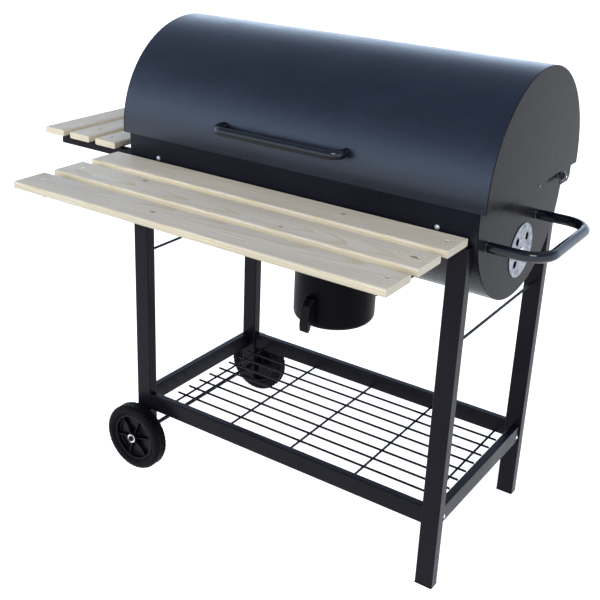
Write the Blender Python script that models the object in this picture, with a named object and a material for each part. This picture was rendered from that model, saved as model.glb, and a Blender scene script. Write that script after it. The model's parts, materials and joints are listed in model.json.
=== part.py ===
"""Barrel charcoal grill on a two-wheeled cart, one named object for each physical piece.

Everything is modelled from one corner of the cart: X runs along the grill from the middle of the
frame towards the push handle, Y runs back from the front face of the front legs, Z is up from
the floor. An empty then moves the whole grill so that the origin is the centre of its footprint.
"""
import math

import bmesh
import bpy
from mathutils import Vector

# Clearances and sheet thickness, metres
GAP = 0.0003
SHEET = 0.0015
HOLE_CLEARANCE = 0.0003
CUT_REACH = 0.010

# Cart frame
FRAME_LENGTH = 0.820
FRAME_DEPTH = 0.448
LEG_WIDTH = 0.040
LEG_DEPTH = 0.025
TUBE_WALL = 0.0015
FRONT_LEG_TOP = 0.7620
REAR_LEG_TOP = 0.750
WHEEL_LEG_BOTTOM = 0.055
FOOT_HEIGHT = 0.004
FOOT_PLUG = 0.018
RAIL_BOTTOM = 0.1490
RAIL_TOP = 0.1900
RAIL_DEPTH = 0.018
RAIL_INSET_Y = 0.002
RAIL_INSET_X = 0.004
TIE_ROD_HEIGHT = 0.552
TIE_ROD_RADIUS = 0.003

# Wire rack at the bottom of the cart
RACK_Z = 0.1525
WIRE = 0.0045
RACK_CROSS_WIRES = 5
RACK_CROSS_PITCH = 0.1724
RACK_LONG_WIRES = 9
RACK_LONG_PITCH = 0.0410
RACK_LONG_HALF_LENGTH = 0.366

# Wheels and axle
WHEEL_RADIUS = 0.083
WHEEL_WIDTH = 0.038
WHEEL_X = -0.390
WHEEL_LEG_GAP = 0.0085
RIM_RADIUS = 0.060
RIM_WALL = 0.0065
RIM_HALF_WIDTH = 0.0140
TYRE_SHOULDER = 0.0035
TYRE_EDGE = 0.78
TYRE_TREAD = 0.35
HUB_RADIUS = 0.0150
HUB_NOSE = 0.0135
DISC_FRONT = 0.003
DISC_BACK = -0.001
AXLE_RADIUS = 0.005
AXLE_OVERHANG = 0.0055
NUT_LENGTH = 0.0080
NUT_RADIUS = 0.0072
NUT_FLANGE = 0.0090

# Barrel: a lower half and a lid with the same kind of section
BODY_HALF_LENGTH = 0.4225
BODY_FRONT = 0.0085
BODY_REAR = 0.4225
BODY_TOP = 0.8307
BODY_ARC_Z = 0.810
BODY_BOTTOM = 0.603
LID_HALF_LENGTH = 0.436
LID_MIDDLE_Y = 0.2328
LID_MIDDLE_Z = 0.8425
LID_RADIUS = 0.2305
LID_RISE = 0.224
LID_BOTTOM = 0.831
LID_LIP = 0.0215
ASH_HOLE_RADIUS = 0.078
HINGE_Y = 0.392
HINGE_Z = 0.816
HINGE_PIN_RADIUS = 0.003
TAB_FRONT = 0.373
TAB_REAR = 0.431
TAB_BOTTOM = 0.800
TAB_CORNER = 0.010
SPACER_RADIUS = 0.007

# Bolts and rivets; each head is (radius, height)
PIN_NUT_LENGTH = 0.0045
PIN_NUT_RADIUS = 0.0055
VENT_HEAD = (0.0070, 0.0030)
HINGE_HEAD = (0.0085, 0.0055)
SUPPORT_HEAD = (0.0048, 0.0030)

# Grates and what carries them
GRATE_Z = 0.7973
GRATE_BAR = 0.004
GRATE_FRONT = 0.034
GRATE_RODS = 20
GRATE_SPLIT = 0.0025
GRATE_END_GAP = 0.005
COAL_GRATE_Z = 0.688
COAL_GRATE_BAR = 0.005
COAL_GRATE_HALF_DEPTH = 0.1635
COAL_GRATE_RODS = 24
SUPPORT_OFFSET = 0.0052
SUPPORT_FLANGE = 0.026
SUPPORT_WEB = 0.022
SUPPORT_END_GAP = 0.003
SUPPORT_BOLT_X = 0.340
SUPPORT_BOLT_Z = 0.787

# Vents at both ends
VENT_Y = 0.2304
VENT_Z = 0.696
VENT_RADIUS = 0.057
VENT_HOLE_CIRCLE = 0.034
VENT_HOLE_RADIUS = 0.0085
VENT_HOLES = 4

# Ash cup under the barrel
CUP_X = 0.005
CUP_RADIUS = 0.0935
CUP_TOP = 0.592
CUP_BOTTOM = 0.435
CUP_FILLET = 0.016
CUP_FILLET_STEPS = 4
COLLAR_BOTTOM = 0.580
COLLAR_TOP = 0.650
COLLAR_GAP = 0.0005
GRIP_HALF_WIDTH = 0.011
GRIP_GAP = 0.0013

# Handles
SIDE_HANDLE_RADIUS = 0.0105
SIDE_HANDLE_REACH = 0.5355
SIDE_HANDLE_FRONT = 0.055
SIDE_HANDLE_REAR = 0.300
SIDE_HANDLE_Z = 0.7545
SIDE_HANDLE_BEND = 0.048
LID_HANDLE_RADIUS = 0.0095
LID_HANDLE_X = -0.0107
LID_HANDLE_HALF = 0.1478
LID_HANDLE_Y = -0.030
LID_HANDLE_Z = 0.890
LID_HANDLE_BEND = 0.026
LID_HANDLE_ROOT = 0.0028

# Wooden shelves
SHELF_TOP = 0.781
SLAT_THICKNESS = 0.0155
FRONT_SHELF_LEFT = -0.4575
FRONT_SHELF_RIGHT = 0.4045
FRONT_SHELF_EDGE = -0.2942
FRONT_SLAT_WIDTH = 0.0848
FRONT_SLAT_GAP = 0.0236
SIDE_SHELF_EDGE = -0.745
SIDE_SLAT_WIDTH = 0.0635
SIDE_SLAT_PITCH = 0.0838
SIDE_SLAT_FRONT = 0.0523
SIDE_SLAT_REAR = 0.392
SLATS = 3
SLAT_ROUND = 0.0035
BRACKET = 0.0025
BRACKET_WEB = 0.018
BRACKET_START = 0.036
BRACKET_END = 0.010
BRACKET_FLANGE = 0.0275
SIDE_ARM_INSET = 0.0177
SIDE_ARM_HEIGHT = 0.022
SIDE_ARM_DEPTH = 0.020
SIDE_ARM_START = 0.039

ROUND_SEGMENTS = 32
ARC_SEGMENTS = 26

# Worked out from the above
FRAME_HALF = FRAME_LENGTH / 2
LEG_X = FRAME_HALF - LEG_WIDTH / 2
LEG_INNER_Y = (LEG_DEPTH, FRAME_DEPTH - LEG_DEPTH)
BODY_MIDDLE_Y = (BODY_FRONT + BODY_REAR) / 2
BODY_HALF_DEPTH = (BODY_REAR - BODY_FRONT) / 2
PLATE_INNER = BODY_HALF_LENGTH - SHEET
SLAT_BOTTOM = SHELF_TOP - SLAT_THICKNESS
WHEEL_FRONT_Y = -WHEEL_LEG_GAP - WHEEL_WIDTH / 2
WHEEL_REAR_Y = FRAME_DEPTH + WHEEL_LEG_GAP + WHEEL_WIDTH / 2
HUB_OUTER = WHEEL_WIDTH / 2
GRILL_LEFT = SIDE_SHELF_EDGE
GRILL_RIGHT = SIDE_HANDLE_REACH + SIDE_HANDLE_RADIUS
GRILL_FRONT = FRONT_SHELF_EDGE
GRILL_REAR = WHEEL_REAR_Y + HUB_OUTER + GAP + NUT_LENGTH
FOOTPRINT_CENTRE = Vector(((GRILL_LEFT + GRILL_RIGHT) / 2, (GRILL_FRONT + GRILL_REAR) / 2, 0.0))

# Colour (linear RGB), metallic, roughness
FINISHES = {
    "black_enamel": ((0.012, 0.013, 0.019), 0.0, 0.35),
    "black_powder": ((0.014, 0.014, 0.022), 0.0, 0.45),
    "end_enamel": ((0.030, 0.029, 0.033), 0.0, 0.55),
    "black_handle": ((0.010, 0.011, 0.014), 0.0, 0.20),
    "black_plastic": ((0.012, 0.012, 0.013), 0.0, 0.50),
    "tyre_rubber": ((0.011, 0.011, 0.011), 0.0, 0.75),
    "black_wire": ((0.012, 0.012, 0.012), 0.0, 0.40),
    "zinc": ((0.52, 0.54, 0.56), 1.0, 0.38),
    "bare_steel": ((0.62, 0.62, 0.62), 1.0, 0.30),
    "pine": ((0.60, 0.52, 0.38), 0.0, 0.60),
}


def material(finish, node):
    """A material of the piece's own, in one of the grill's finishes."""
    colour, metallic, roughness = FINISHES[finish]
    made = bpy.data.materials.new(node)
    made.use_nodes = True
    shader = made.node_tree.nodes["Principled BSDF"]
    shader.inputs["Base Color"].default_value = (*colour, 1.0)
    shader.inputs["Metallic"].default_value = metallic
    shader.inputs["Roughness"].default_value = roughness
    made.diffuse_color = (*colour, 1.0)
    return made


def piece(name, bm, finish, pivot=(0.0, 0.0, 0.0), smooth=False):
    """Turn a bmesh in cart coordinates into an object whose origin is the pivot."""
    bmesh.ops.recalc_face_normals(bm, faces=bm.faces)
    bmesh.ops.translate(bm, verts=bm.verts, vec=-Vector(pivot))
    mesh = bpy.data.meshes.new(name)
    bm.to_mesh(mesh)
    bm.free()
    if smooth:
        mesh.shade_smooth()
        mesh.set_sharp_from_angle(angle=math.radians(35))
    made = bpy.data.objects.new(name, mesh)
    made.location = pivot
    made.parent = grill
    mesh.materials.append(material(finish, name))
    bpy.context.scene.collection.objects.link(made)
    return made


def place(axis, a, b, along):
    """A point given as two section coordinates and the distance along the axis."""
    if axis == "X":
        return Vector((along, a, b))
    if axis == "Y":
        return Vector((a, along, b))
    return Vector((a, b, along))


def extruded(outline, axis, low, high):
    """A closed prism: the outline swept along the axis from low to high."""
    bm = bmesh.new()
    base = bm.faces.new([bm.verts.new(place(axis, a, b, low)) for a, b in outline])
    swept = bmesh.ops.extrude_face_region(bm, geom=[base])
    top = [item for item in swept["geom"] if isinstance(item, bmesh.types.BMVert)]
    origin = place(axis, 0.0, 0.0, 0.0)
    bmesh.ops.translate(bm, verts=top, vec=place(axis, 0.0, 0.0, high - low) - origin)
    return bm


def rectangle(a0, b0, a1, b1):
    return [(a0, b0), (a1, b0), (a1, b1), (a0, b1)]


def block(low, high):
    """A plain box between two corners."""
    return extruded(rectangle(low[0], low[1], high[0], high[1]), "Z", low[2], high[2])


def rectangular_tube(axis, a0, b0, a1, b1, low, high):
    """An open-ended rectangular tube along the axis."""
    bm = bmesh.new()
    outer = rectangle(a0, b0, a1, b1)
    inner = rectangle(a0 + TUBE_WALL, b0 + TUBE_WALL, a1 - TUBE_WALL, b1 - TUBE_WALL)
    loops = []
    for outline in (outer, inner):
        for along in (low, high):
            loops.append([bm.verts.new(place(axis, a, b, along)) for a, b in outline])
    outer_low, outer_high, inner_low, inner_high = loops
    pairs = ((outer_low, outer_high), (inner_high, inner_low), (outer_high, inner_high),
             (inner_low, outer_low))
    for first, second in pairs:
        for i in range(4):
            j = (i + 1) % 4
            bm.faces.new((first[i], first[j], second[j], second[i]))
    return bm


def turned(profile, axis, centre, segments=ROUND_SEGMENTS):
    """A profile of (radius, distance along the axis) turned about the axis through centre.

    A profile that starts and ends at radius 0 makes a solid, any other is closed into a ring.
    """
    bm = bmesh.new()
    solid = profile[0][0] == 0.0 and profile[-1][0] == 0.0
    side = Vector((0.0, 0.0, -1.0)) if axis != "Z" else Vector((-1.0, 0.0, 0.0))
    direction = place(axis, 0.0, 0.0, 1.0)
    verts = [bm.verts.new(Vector(centre) + side * r + direction * s) for r, s in profile]
    edges = [bm.edges.new(pair) for pair in zip(verts, verts[1:])]
    if not solid:
        edges.append(bm.edges.new((verts[-1], verts[0])))
    bmesh.ops.spin(bm, geom=verts + edges, cent=Vector(centre), axis=direction,
                   angle=math.tau, steps=segments, use_merge=True)
    bmesh.ops.remove_doubles(bm, verts=bm.verts, dist=1e-6)
    return bm


def lattice(along_y, along_x, low, high):
    """Bars crossing in one layer, as one body. A bar is (x0, y0, x1, y1)."""
    bars = along_y + along_x
    xs = sorted({round(value, 6) for bar in bars for value in (bar[0], bar[2])})
    ys = sorted({round(value, 6) for bar in bars for value in (bar[1], bar[3])})

    def filled(i, j):
        if not (0 <= i < len(xs) - 1 and 0 <= j < len(ys) - 1):
            return False
        x = (xs[i] + xs[i + 1]) / 2
        y = (ys[j] + ys[j + 1]) / 2
        return any(bar[0] < x < bar[2] and bar[1] < y < bar[3] for bar in bars)

    bm = bmesh.new()
    corners = {}

    def corner(i, j, z):
        if (i, j, z) not in corners:
            corners[i, j, z] = bm.verts.new((xs[i], ys[j], z))
        return corners[i, j, z]

    for i in range(len(xs) - 1):
        for j in range(len(ys) - 1):
            if not filled(i, j):
                continue
            ring = ((i, j), (i + 1, j), (i + 1, j + 1), (i, j + 1))
            bm.faces.new([corner(*at, high) for at in ring])
            bm.faces.new([corner(*at, low) for at in reversed(ring)])
            neighbours = ((i, j - 1), (i + 1, j), (i, j + 1), (i - 1, j))
            for k, beside in enumerate(neighbours):
                if filled(*beside):
                    continue
                a = ring[k]
                b = ring[(k + 1) % 4]
                bm.faces.new((corner(*a, low), corner(*b, low), corner(*b, high), corner(*a, high)))
    return bm


def bar_y(x, y0, y1, width):
    return (x - width / 2, y0, x + width / 2, y1)


def bar_x(y, x0, x1, width):
    return (x0, y - width / 2, x1, y + width / 2)


def evenly(first, last, count):
    return [first + (last - first) * i / (count - 1) for i in range(count)]


def bent_rod(name, corners, bend, radius, finish):
    """A round bar along straight legs with a bend of the given radius at each inner corner."""
    points = [Vector(corners[0])]
    for before, at, after in zip(corners, corners[1:], corners[2:]):
        before, at, after = Vector(before), Vector(at), Vector(after)
        arrive = (at - before).normalized()
        leave = (after - at).normalized()
        turn = arrive.angle(leave)
        back = bend * math.tan(turn / 2)
        centre = at - arrive * back + (leave - arrive * arrive.dot(leave)).normalized() * bend
        start = at - arrive * back - centre
        finish_side = arrive
        steps = 8
        for k in range(steps + 1):
            angle = turn * k / steps
            points.append(centre + start * math.cos(angle) + finish_side * bend * math.sin(angle))
    points.append(Vector(corners[-1]))
    curve = bpy.data.curves.new(name, "CURVE")
    curve.dimensions = "3D"
    curve.bevel_depth = radius
    curve.bevel_resolution = 4
    curve.use_fill_caps = True
    spline = curve.splines.new("POLY")
    spline.points.add(len(points) - 1)
    for target, point in zip(spline.points, points):
        target.co = (*point, 1.0)
    made = bpy.data.objects.new(name, curve)
    made.parent = grill
    curve.materials.append(material(finish, name))
    bpy.context.scene.collection.objects.link(made)
    return made


def cutter(name, bm):
    """A hidden shape that Booleans take away."""
    made = piece(name, bm, "zinc")
    made.hide_render = True
    made.display_type = "WIRE"
    return made


def cut(target, *tools):
    for tool in tools:
        boolean = target.modifiers.new("cut_" + tool.name, "BOOLEAN")
        boolean.operation = "DIFFERENCE"
        boolean.solver = "EXACT"
        boolean.object = tool


def hole_along(axis, centre, radius, low, high, name, segments=16):
    """A cutter for a round hole."""
    profile = [(0.0, low), (radius, low), (radius, high), (0.0, high)]
    return cutter(name, turned(profile, axis, centre, segments))


def body_arc(shrink):
    """The lower half-barrel's section from the front rim round to the rear rim."""
    half = BODY_HALF_DEPTH - shrink
    drop = BODY_ARC_Z - BODY_BOTTOM - shrink
    points = [(BODY_MIDDLE_Y - half, BODY_TOP)]
    for i in range(ARC_SEGMENTS + 1):
        angle = math.pi * i / ARC_SEGMENTS
        points.append((BODY_MIDDLE_Y - half * math.cos(angle), BODY_ARC_Z - drop * math.sin(angle)))
    points.append((BODY_MIDDLE_Y + half, BODY_TOP))
    return points


def lid_arc(shrink, bottom):
    """The lid's section from the front edge over the top to the rear edge."""
    half = LID_RADIUS - shrink
    rise = LID_RISE - shrink
    points = [(LID_MIDDLE_Y - half, bottom)]
    for i in range(ARC_SEGMENTS + 1):
        angle = math.pi * i / ARC_SEGMENTS
        points.append((LID_MIDDLE_Y - half * math.cos(angle), LID_MIDDLE_Z + rise * math.sin(angle)))
    points.append((LID_MIDDLE_Y + half, LID_BOTTOM))
    return points


def make_legs():
    """Four rectangular tube legs; the two at the handle end stand on plastic caps."""
    axle_hole = hole_along("Y", (WHEEL_X, 0.0, WHEEL_RADIUS), AXLE_RADIUS + HOLE_CLEARANCE,
                           -CUT_REACH, FRAME_DEPTH + CUT_REACH, "cut_axle")
    reach = FRAME_HALF + CUT_REACH
    barrel = cutter("cut_saddle", extruded(body_arc(-GAP), "X", -reach, reach))
    rows = (("front", 0.0, FRONT_LEG_TOP), ("rear", FRAME_DEPTH - LEG_DEPTH, REAR_LEG_TOP))
    for row, y, top in rows:
        for side, x, bottom in (("left", -LEG_X, WHEEL_LEG_BOTTOM), ("right", LEG_X, FOOT_HEIGHT + GAP)):
            bm = rectangular_tube("Z", x - LEG_WIDTH / 2, y, x + LEG_WIDTH / 2, y + LEG_DEPTH, bottom, top)
            leg = piece(f"leg_{row}_{side}", bm, "black_powder")
            if side == "left":
                cut(leg, axle_hole)
            if row == "front":
                cut(leg, barrel)
        make_foot_cap(f"foot_cap_{row}", y)


def make_foot_cap(name, y):
    """A moulded cap: a flat foot with a plug that goes up inside the leg."""
    inset = TUBE_WALL + GAP
    x0 = LEG_X - LEG_WIDTH / 2
    x1 = LEG_X + LEG_WIDTH / 2
    y1 = y + LEG_DEPTH
    bm = bmesh.new()
    levels = ((0.0, 0.0), (0.0, FOOT_HEIGHT), (inset, FOOT_HEIGHT), (inset, FOOT_PLUG))
    loops = []
    for shrink, z in levels:
        corners = rectangle(x0 + shrink, y + shrink, x1 - shrink, y1 - shrink)
        loops.append([bm.verts.new((a, b, z)) for a, b in corners])
    bm.faces.new(loops[0])
    bm.faces.new(loops[-1])
    for first, second in zip(loops, loops[1:]):
        for i in range(4):
            j = (i + 1) % 4
            bm.faces.new((first[i], first[j], second[j], second[i]))
    piece(name, bm, "black_plastic")


def make_rails():
    """The rectangular frame low on the legs, and the thin rods that tie front and rear legs."""
    end = LEG_X - LEG_WIDTH / 2 - GAP
    for name, y in (("rail_front", RAIL_INSET_Y), ("rail_rear", FRAME_DEPTH - RAIL_INSET_Y - RAIL_DEPTH)):
        bm = rectangular_tube("X", y, RAIL_BOTTOM, y + RAIL_DEPTH, RAIL_TOP, -end, end)
        piece(name, bm, "black_powder")
    front = LEG_INNER_Y[0] + GAP
    rear = LEG_INNER_Y[1] - GAP
    outer = FRAME_HALF - RAIL_INSET_X
    for name, x in (("rail_left", -outer), ("rail_right", outer - RAIL_DEPTH)):
        bm = rectangular_tube("Y", x, RAIL_BOTTOM, x + RAIL_DEPTH, RAIL_TOP, front, rear)
        piece(name, bm, "black_powder")
    for name, x in (("tie_rod_left", -LEG_X), ("tie_rod_right", LEG_X)):
        profile = [(0.0, front), (TIE_ROD_RADIUS, front), (TIE_ROD_RADIUS, rear), (0.0, rear)]
        piece(name, turned(profile, "Y", (x, 0.0, TIE_ROD_HEIGHT), 12), "black_wire", smooth=True)


def make_rack():
    """The wire shelf between the rails: long wires over five cross wires."""
    y0 = RAIL_INSET_Y + RAIL_DEPTH + GAP
    y1 = FRAME_DEPTH - y0
    middle = FRAME_DEPTH / 2
    cross_half = RACK_CROSS_PITCH * (RACK_CROSS_WIRES - 1) / 2
    cross = [bar_y(x, y0, y1, WIRE) for x in evenly(-cross_half, cross_half, RACK_CROSS_WIRES)]
    long_half = RACK_LONG_PITCH * (RACK_LONG_WIRES - 1) / 2
    rows = evenly(middle - long_half, middle + long_half, RACK_LONG_WIRES)
    long_wires = [bar_x(y, -RACK_LONG_HALF_LENGTH, RACK_LONG_HALF_LENGTH, WIRE) for y in rows]
    piece("bottom_rack", lattice(cross, long_wires, RACK_Z - WIRE / 2, RACK_Z + WIRE / 2), "black_wire")


def make_wheels():
    """Axle through the short legs, a wheel outside each leg and a cap nut at each end."""
    front_end = WHEEL_FRONT_Y - HUB_OUTER - AXLE_OVERHANG
    rear_end = WHEEL_REAR_Y + HUB_OUTER + AXLE_OVERHANG
    profile = [(0.0, front_end), (AXLE_RADIUS, front_end), (AXLE_RADIUS, rear_end), (0.0, rear_end)]
    piece("axle", turned(profile, "Y", (WHEEL_X, 0.0, WHEEL_RADIUS), 16), "black_wire", smooth=True)
    for end, y, out in (("front", WHEEL_FRONT_Y, -1), ("rear", WHEEL_REAR_Y, 1)):
        make_wheel(end, y, out)


def make_wheel(end, y, out):
    """One tyre on its plastic wheel, and the nut outside it. out is the outward Y direction."""
    centre = (WHEEL_X, y, WHEEL_RADIUS)
    half = WHEEL_WIDTH / 2
    wall = (RIM_RADIUS + WHEEL_RADIUS) / 2
    shoulder = WHEEL_RADIUS - TYRE_SHOULDER
    edge = TYRE_EDGE * half
    tread = TYRE_TREAD * half
    tyre = [(RIM_RADIUS, -edge), (wall, -half), (shoulder, -edge), (WHEEL_RADIUS, -tread),
            (WHEEL_RADIUS, tread), (shoulder, edge), (wall, half), (RIM_RADIUS, edge)]
    piece("tyre_" + end, turned(tyre, "Y", centre), "tyre_rubber", centre, smooth=True)
    bore = AXLE_RADIUS + HOLE_CLEARANCE
    lip = RIM_RADIUS - GAP
    flange = lip - RIM_WALL
    foot = flange - 0.0015
    inner_hub = -half - WHEEL_LEG_GAP + 0.001
    rim = [(bore, half), (HUB_NOSE, half), (HUB_RADIUS, DISC_FRONT), (foot, DISC_FRONT),
           (flange, RIM_HALF_WIDTH), (lip, RIM_HALF_WIDTH), (lip, -RIM_HALF_WIDTH),
           (flange, -RIM_HALF_WIDTH), (foot, DISC_BACK), (HUB_RADIUS, DISC_BACK),
           (HUB_NOSE, inner_hub), (bore, inner_hub)]
    rim = [(r, s * out) for r, s in rim]
    piece("wheel_rim_" + end, turned(rim, "Y", centre), "black_plastic", centre, smooth=True)
    face = half + GAP
    dome = face + NUT_LENGTH * 0.65
    collar = face + NUT_LENGTH * 0.2
    nut = [(0.0, face + NUT_LENGTH), (NUT_RADIUS * 0.6, face + NUT_LENGTH), (NUT_RADIUS, dome),
           (NUT_RADIUS, collar), (NUT_FLANGE, collar), (NUT_FLANGE, face), (bore, face),
           (bore, face + AXLE_OVERHANG), (0.0, face + AXLE_OVERHANG)]
    nut = [(r, s * out) for r, s in nut]
    piece("axle_nut_" + end, turned(nut, "Y", centre, 16), "zinc", smooth=True)


def make_firebox():
    """The lower half-barrel: one rolled sheet, two end plates and the ash collar."""
    outline = body_arc(0.0) + list(reversed(body_arc(SHEET)))
    end = PLATE_INNER - GAP
    trough = piece("firebox_trough", extruded(outline, "X", -end, end), "black_enamel", smooth=True)
    middle = (CUP_X, BODY_MIDDLE_Y, 0.0)
    ash_hole = hole_along("Z", middle, ASH_HOLE_RADIUS, BODY_BOTTOM - CUT_REACH, COLLAR_TOP,
                          "cut_ash_hole", ROUND_SEGMENTS)
    cut(trough, ash_hole)
    outer = CUP_RADIUS - SHEET - COLLAR_GAP
    inner = outer - SHEET
    ring = [(inner, COLLAR_BOTTOM), (outer, COLLAR_BOTTOM), (outer, COLLAR_TOP), (inner, COLLAR_TOP)]
    collar = piece("ash_collar", turned(ring, "Z", middle), "black_enamel", smooth=True)
    cut(collar, cutter("cut_collar", extruded(body_arc(-GAP), "X", -FRAME_HALF, FRAME_HALF)))
    make_end_plates()
    for side, x in (("left", -SUPPORT_BOLT_X), ("right", SUPPORT_BOLT_X)):
        hole = hole_along("Y", (x, 0.0, SUPPORT_BOLT_Z), HINGE_PIN_RADIUS + HOLE_CLEARANCE,
                          BODY_FRONT - CUT_REACH, BODY_FRONT + 2 * CUT_REACH, "cut_support_" + side)
        cut(trough, hole)
        cut(bpy.data.objects["grate_support_front"], hole)


def make_end_plates():
    """Flat ends with their vent holes, dampers, rivets and hinge bolts."""
    for side, sign in (("left", -1), ("right", 1)):
        low, high = sorted((sign * PLATE_INNER, sign * BODY_HALF_LENGTH))
        plate = piece("firebox_end_" + side, extruded(body_arc(0.0), "X", low, high), "end_enamel")
        disc_inner = BODY_HALF_LENGTH + GAP
        disc_outer = disc_inner + SHEET
        disc_low, disc_high = sorted((sign * disc_inner, sign * disc_outer))
        vent = (0.0, VENT_Y, VENT_Z)
        disc = [(0.0, disc_low), (VENT_RADIUS, disc_low), (VENT_RADIUS, disc_high), (0.0, disc_high)]
        damper = piece("vent_damper_" + side, turned(disc, "X", vent), "zinc", vent)
        reach = sorted((sign * (PLATE_INNER - CUT_REACH), sign * (BODY_HALF_LENGTH + CUT_REACH)))
        bore = HINGE_PIN_RADIUS + HOLE_CLEARANCE
        tools = [hole_along("X", vent, bore, *reach, "cut_rivet_" + side)]
        for k in range(VENT_HOLES):
            angle = math.radians(45) + math.tau * k / VENT_HOLES
            y = VENT_Y + VENT_HOLE_CIRCLE * math.cos(angle)
            z = VENT_Z + VENT_HOLE_CIRCLE * math.sin(angle)
            tools.append(hole_along("X", (0.0, y, z), VENT_HOLE_RADIUS, *reach, f"cut_vent_{side}_{k}"))
        cut(damper, *tools)
        cut(plate, *tools)
        pivot = (0.0, HINGE_Y, HINGE_Z)
        hinge_reach = sorted((sign * (PLATE_INNER - CUT_REACH), sign * (LID_HALF_LENGTH + CUT_REACH)))
        hinge_hole = hole_along("X", pivot, bore, *hinge_reach, "cut_hinge_" + side)
        cut(plate, hinge_hole)
        cut(bpy.data.objects["lid_end_" + side], hinge_hole)
        inner = PLATE_INNER - GAP
        make_pin("vent_rivet_" + side, "X", vent, sign, inner, disc_outer + GAP, VENT_HEAD)
        make_pin("hinge_bolt_" + side, "X", pivot, sign, inner, LID_HALF_LENGTH + GAP, HINGE_HEAD)
        a = sign * (BODY_HALF_LENGTH + GAP)
        b = sign * (LID_HALF_LENGTH - SHEET - GAP)
        ring = [(bore, a), (SPACER_RADIUS, a), (SPACER_RADIUS, b), (bore, b)]
        piece("hinge_spacer_" + side, turned(ring, "X", pivot, 16), "zinc", smooth=True)


def make_pin(name, axis, centre, sign, inner, outer, head):
    """A bolt or rivet: shank through the sheets, a domed head outside, a flat nut inside.

    head is the radius and height of the domed head.
    """
    shank = HINGE_PIN_RADIUS
    radius, height = head
    shoulder = outer + height * 0.55
    crown = outer + height * 0.9
    profile = [(0.0, inner - PIN_NUT_LENGTH), (PIN_NUT_RADIUS, inner - PIN_NUT_LENGTH),
               (PIN_NUT_RADIUS, inner), (shank, inner), (shank, outer), (radius, outer),
               (radius * 0.86, shoulder), (radius * 0.5, crown), (0.0, outer + height)]
    profile = [(r, sign * s) for r, s in profile]
    piece(name, turned(profile, axis, centre, 16), "bare_steel", smooth=True)


def make_supports():
    """Angle strips inside the front and rear walls that carry the cooking grates."""
    y0 = BODY_FRONT + SUPPORT_OFFSET
    top = GRATE_Z - GAP
    angle = [(y0, top - SUPPORT_WEB), (y0 + SHEET, top - SUPPORT_WEB), (y0 + SHEET, top - SHEET),
             (y0 + SUPPORT_FLANGE, top - SHEET), (y0 + SUPPORT_FLANGE, top), (y0, top)]
    mirrored = [(2 * BODY_MIDDLE_Y - y, z) for y, z in angle]
    end = PLATE_INNER - SUPPORT_END_GAP
    piece("grate_support_front", extruded(angle, "X", -end, end), "black_wire")
    piece("grate_support_rear", extruded(mirrored, "X", -end, end), "black_wire")
    drop = BODY_ARC_Z - SUPPORT_BOLT_Z - SUPPORT_HEAD[0]
    bulge = math.sqrt(1 - (drop / (BODY_ARC_Z - BODY_BOTTOM)) ** 2)
    seat = BODY_MIDDLE_Y - BODY_HALF_DEPTH * bulge
    for side, x in (("left", -SUPPORT_BOLT_X), ("right", SUPPORT_BOLT_X)):
        centre = (x, 0.0, SUPPORT_BOLT_Z)
        make_pin("support_bolt_" + side, "Y", centre, -1, -(y0 + SHEET + GAP), GAP - seat, SUPPORT_HEAD)


def make_grates():
    """Two cooking grates side by side, and the charcoal grate below them."""
    half = GRATE_BAR / 2
    front = GRATE_FRONT
    rear = 2 * BODY_MIDDLE_Y - GRATE_FRONT
    inner = GRATE_SPLIT
    outer = PLATE_INNER - GRATE_END_GAP
    for side, x0, x1 in (("left", -outer, -inner), ("right", inner, outer)):
        rods = [bar_y(x, front, rear, GRATE_BAR) for x in evenly(x0 + half, x1 - half, GRATE_RODS)]
        cross = [bar_x(y, x0, x1, GRATE_BAR) for y in evenly(front + half, rear - half, 3)]
        piece("cooking_grate_" + side, lattice(rods, cross, GRATE_Z, GRATE_Z + GRATE_BAR), "bare_steel")
    half = COAL_GRATE_BAR / 2
    front = BODY_MIDDLE_Y - COAL_GRATE_HALF_DEPTH
    rear = BODY_MIDDLE_Y + COAL_GRATE_HALF_DEPTH
    places = evenly(-outer + half, outer - half, COAL_GRATE_RODS)
    rods = [bar_y(x, front, rear, COAL_GRATE_BAR) for x in places]
    cross = [bar_x(y, -outer, outer, COAL_GRATE_BAR) for y in evenly(front + half, rear - half, 3)]
    piece("charcoal_grate", lattice(rods, cross, COAL_GRATE_Z, COAL_GRATE_Z + COAL_GRATE_BAR), "black_wire")


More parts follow.
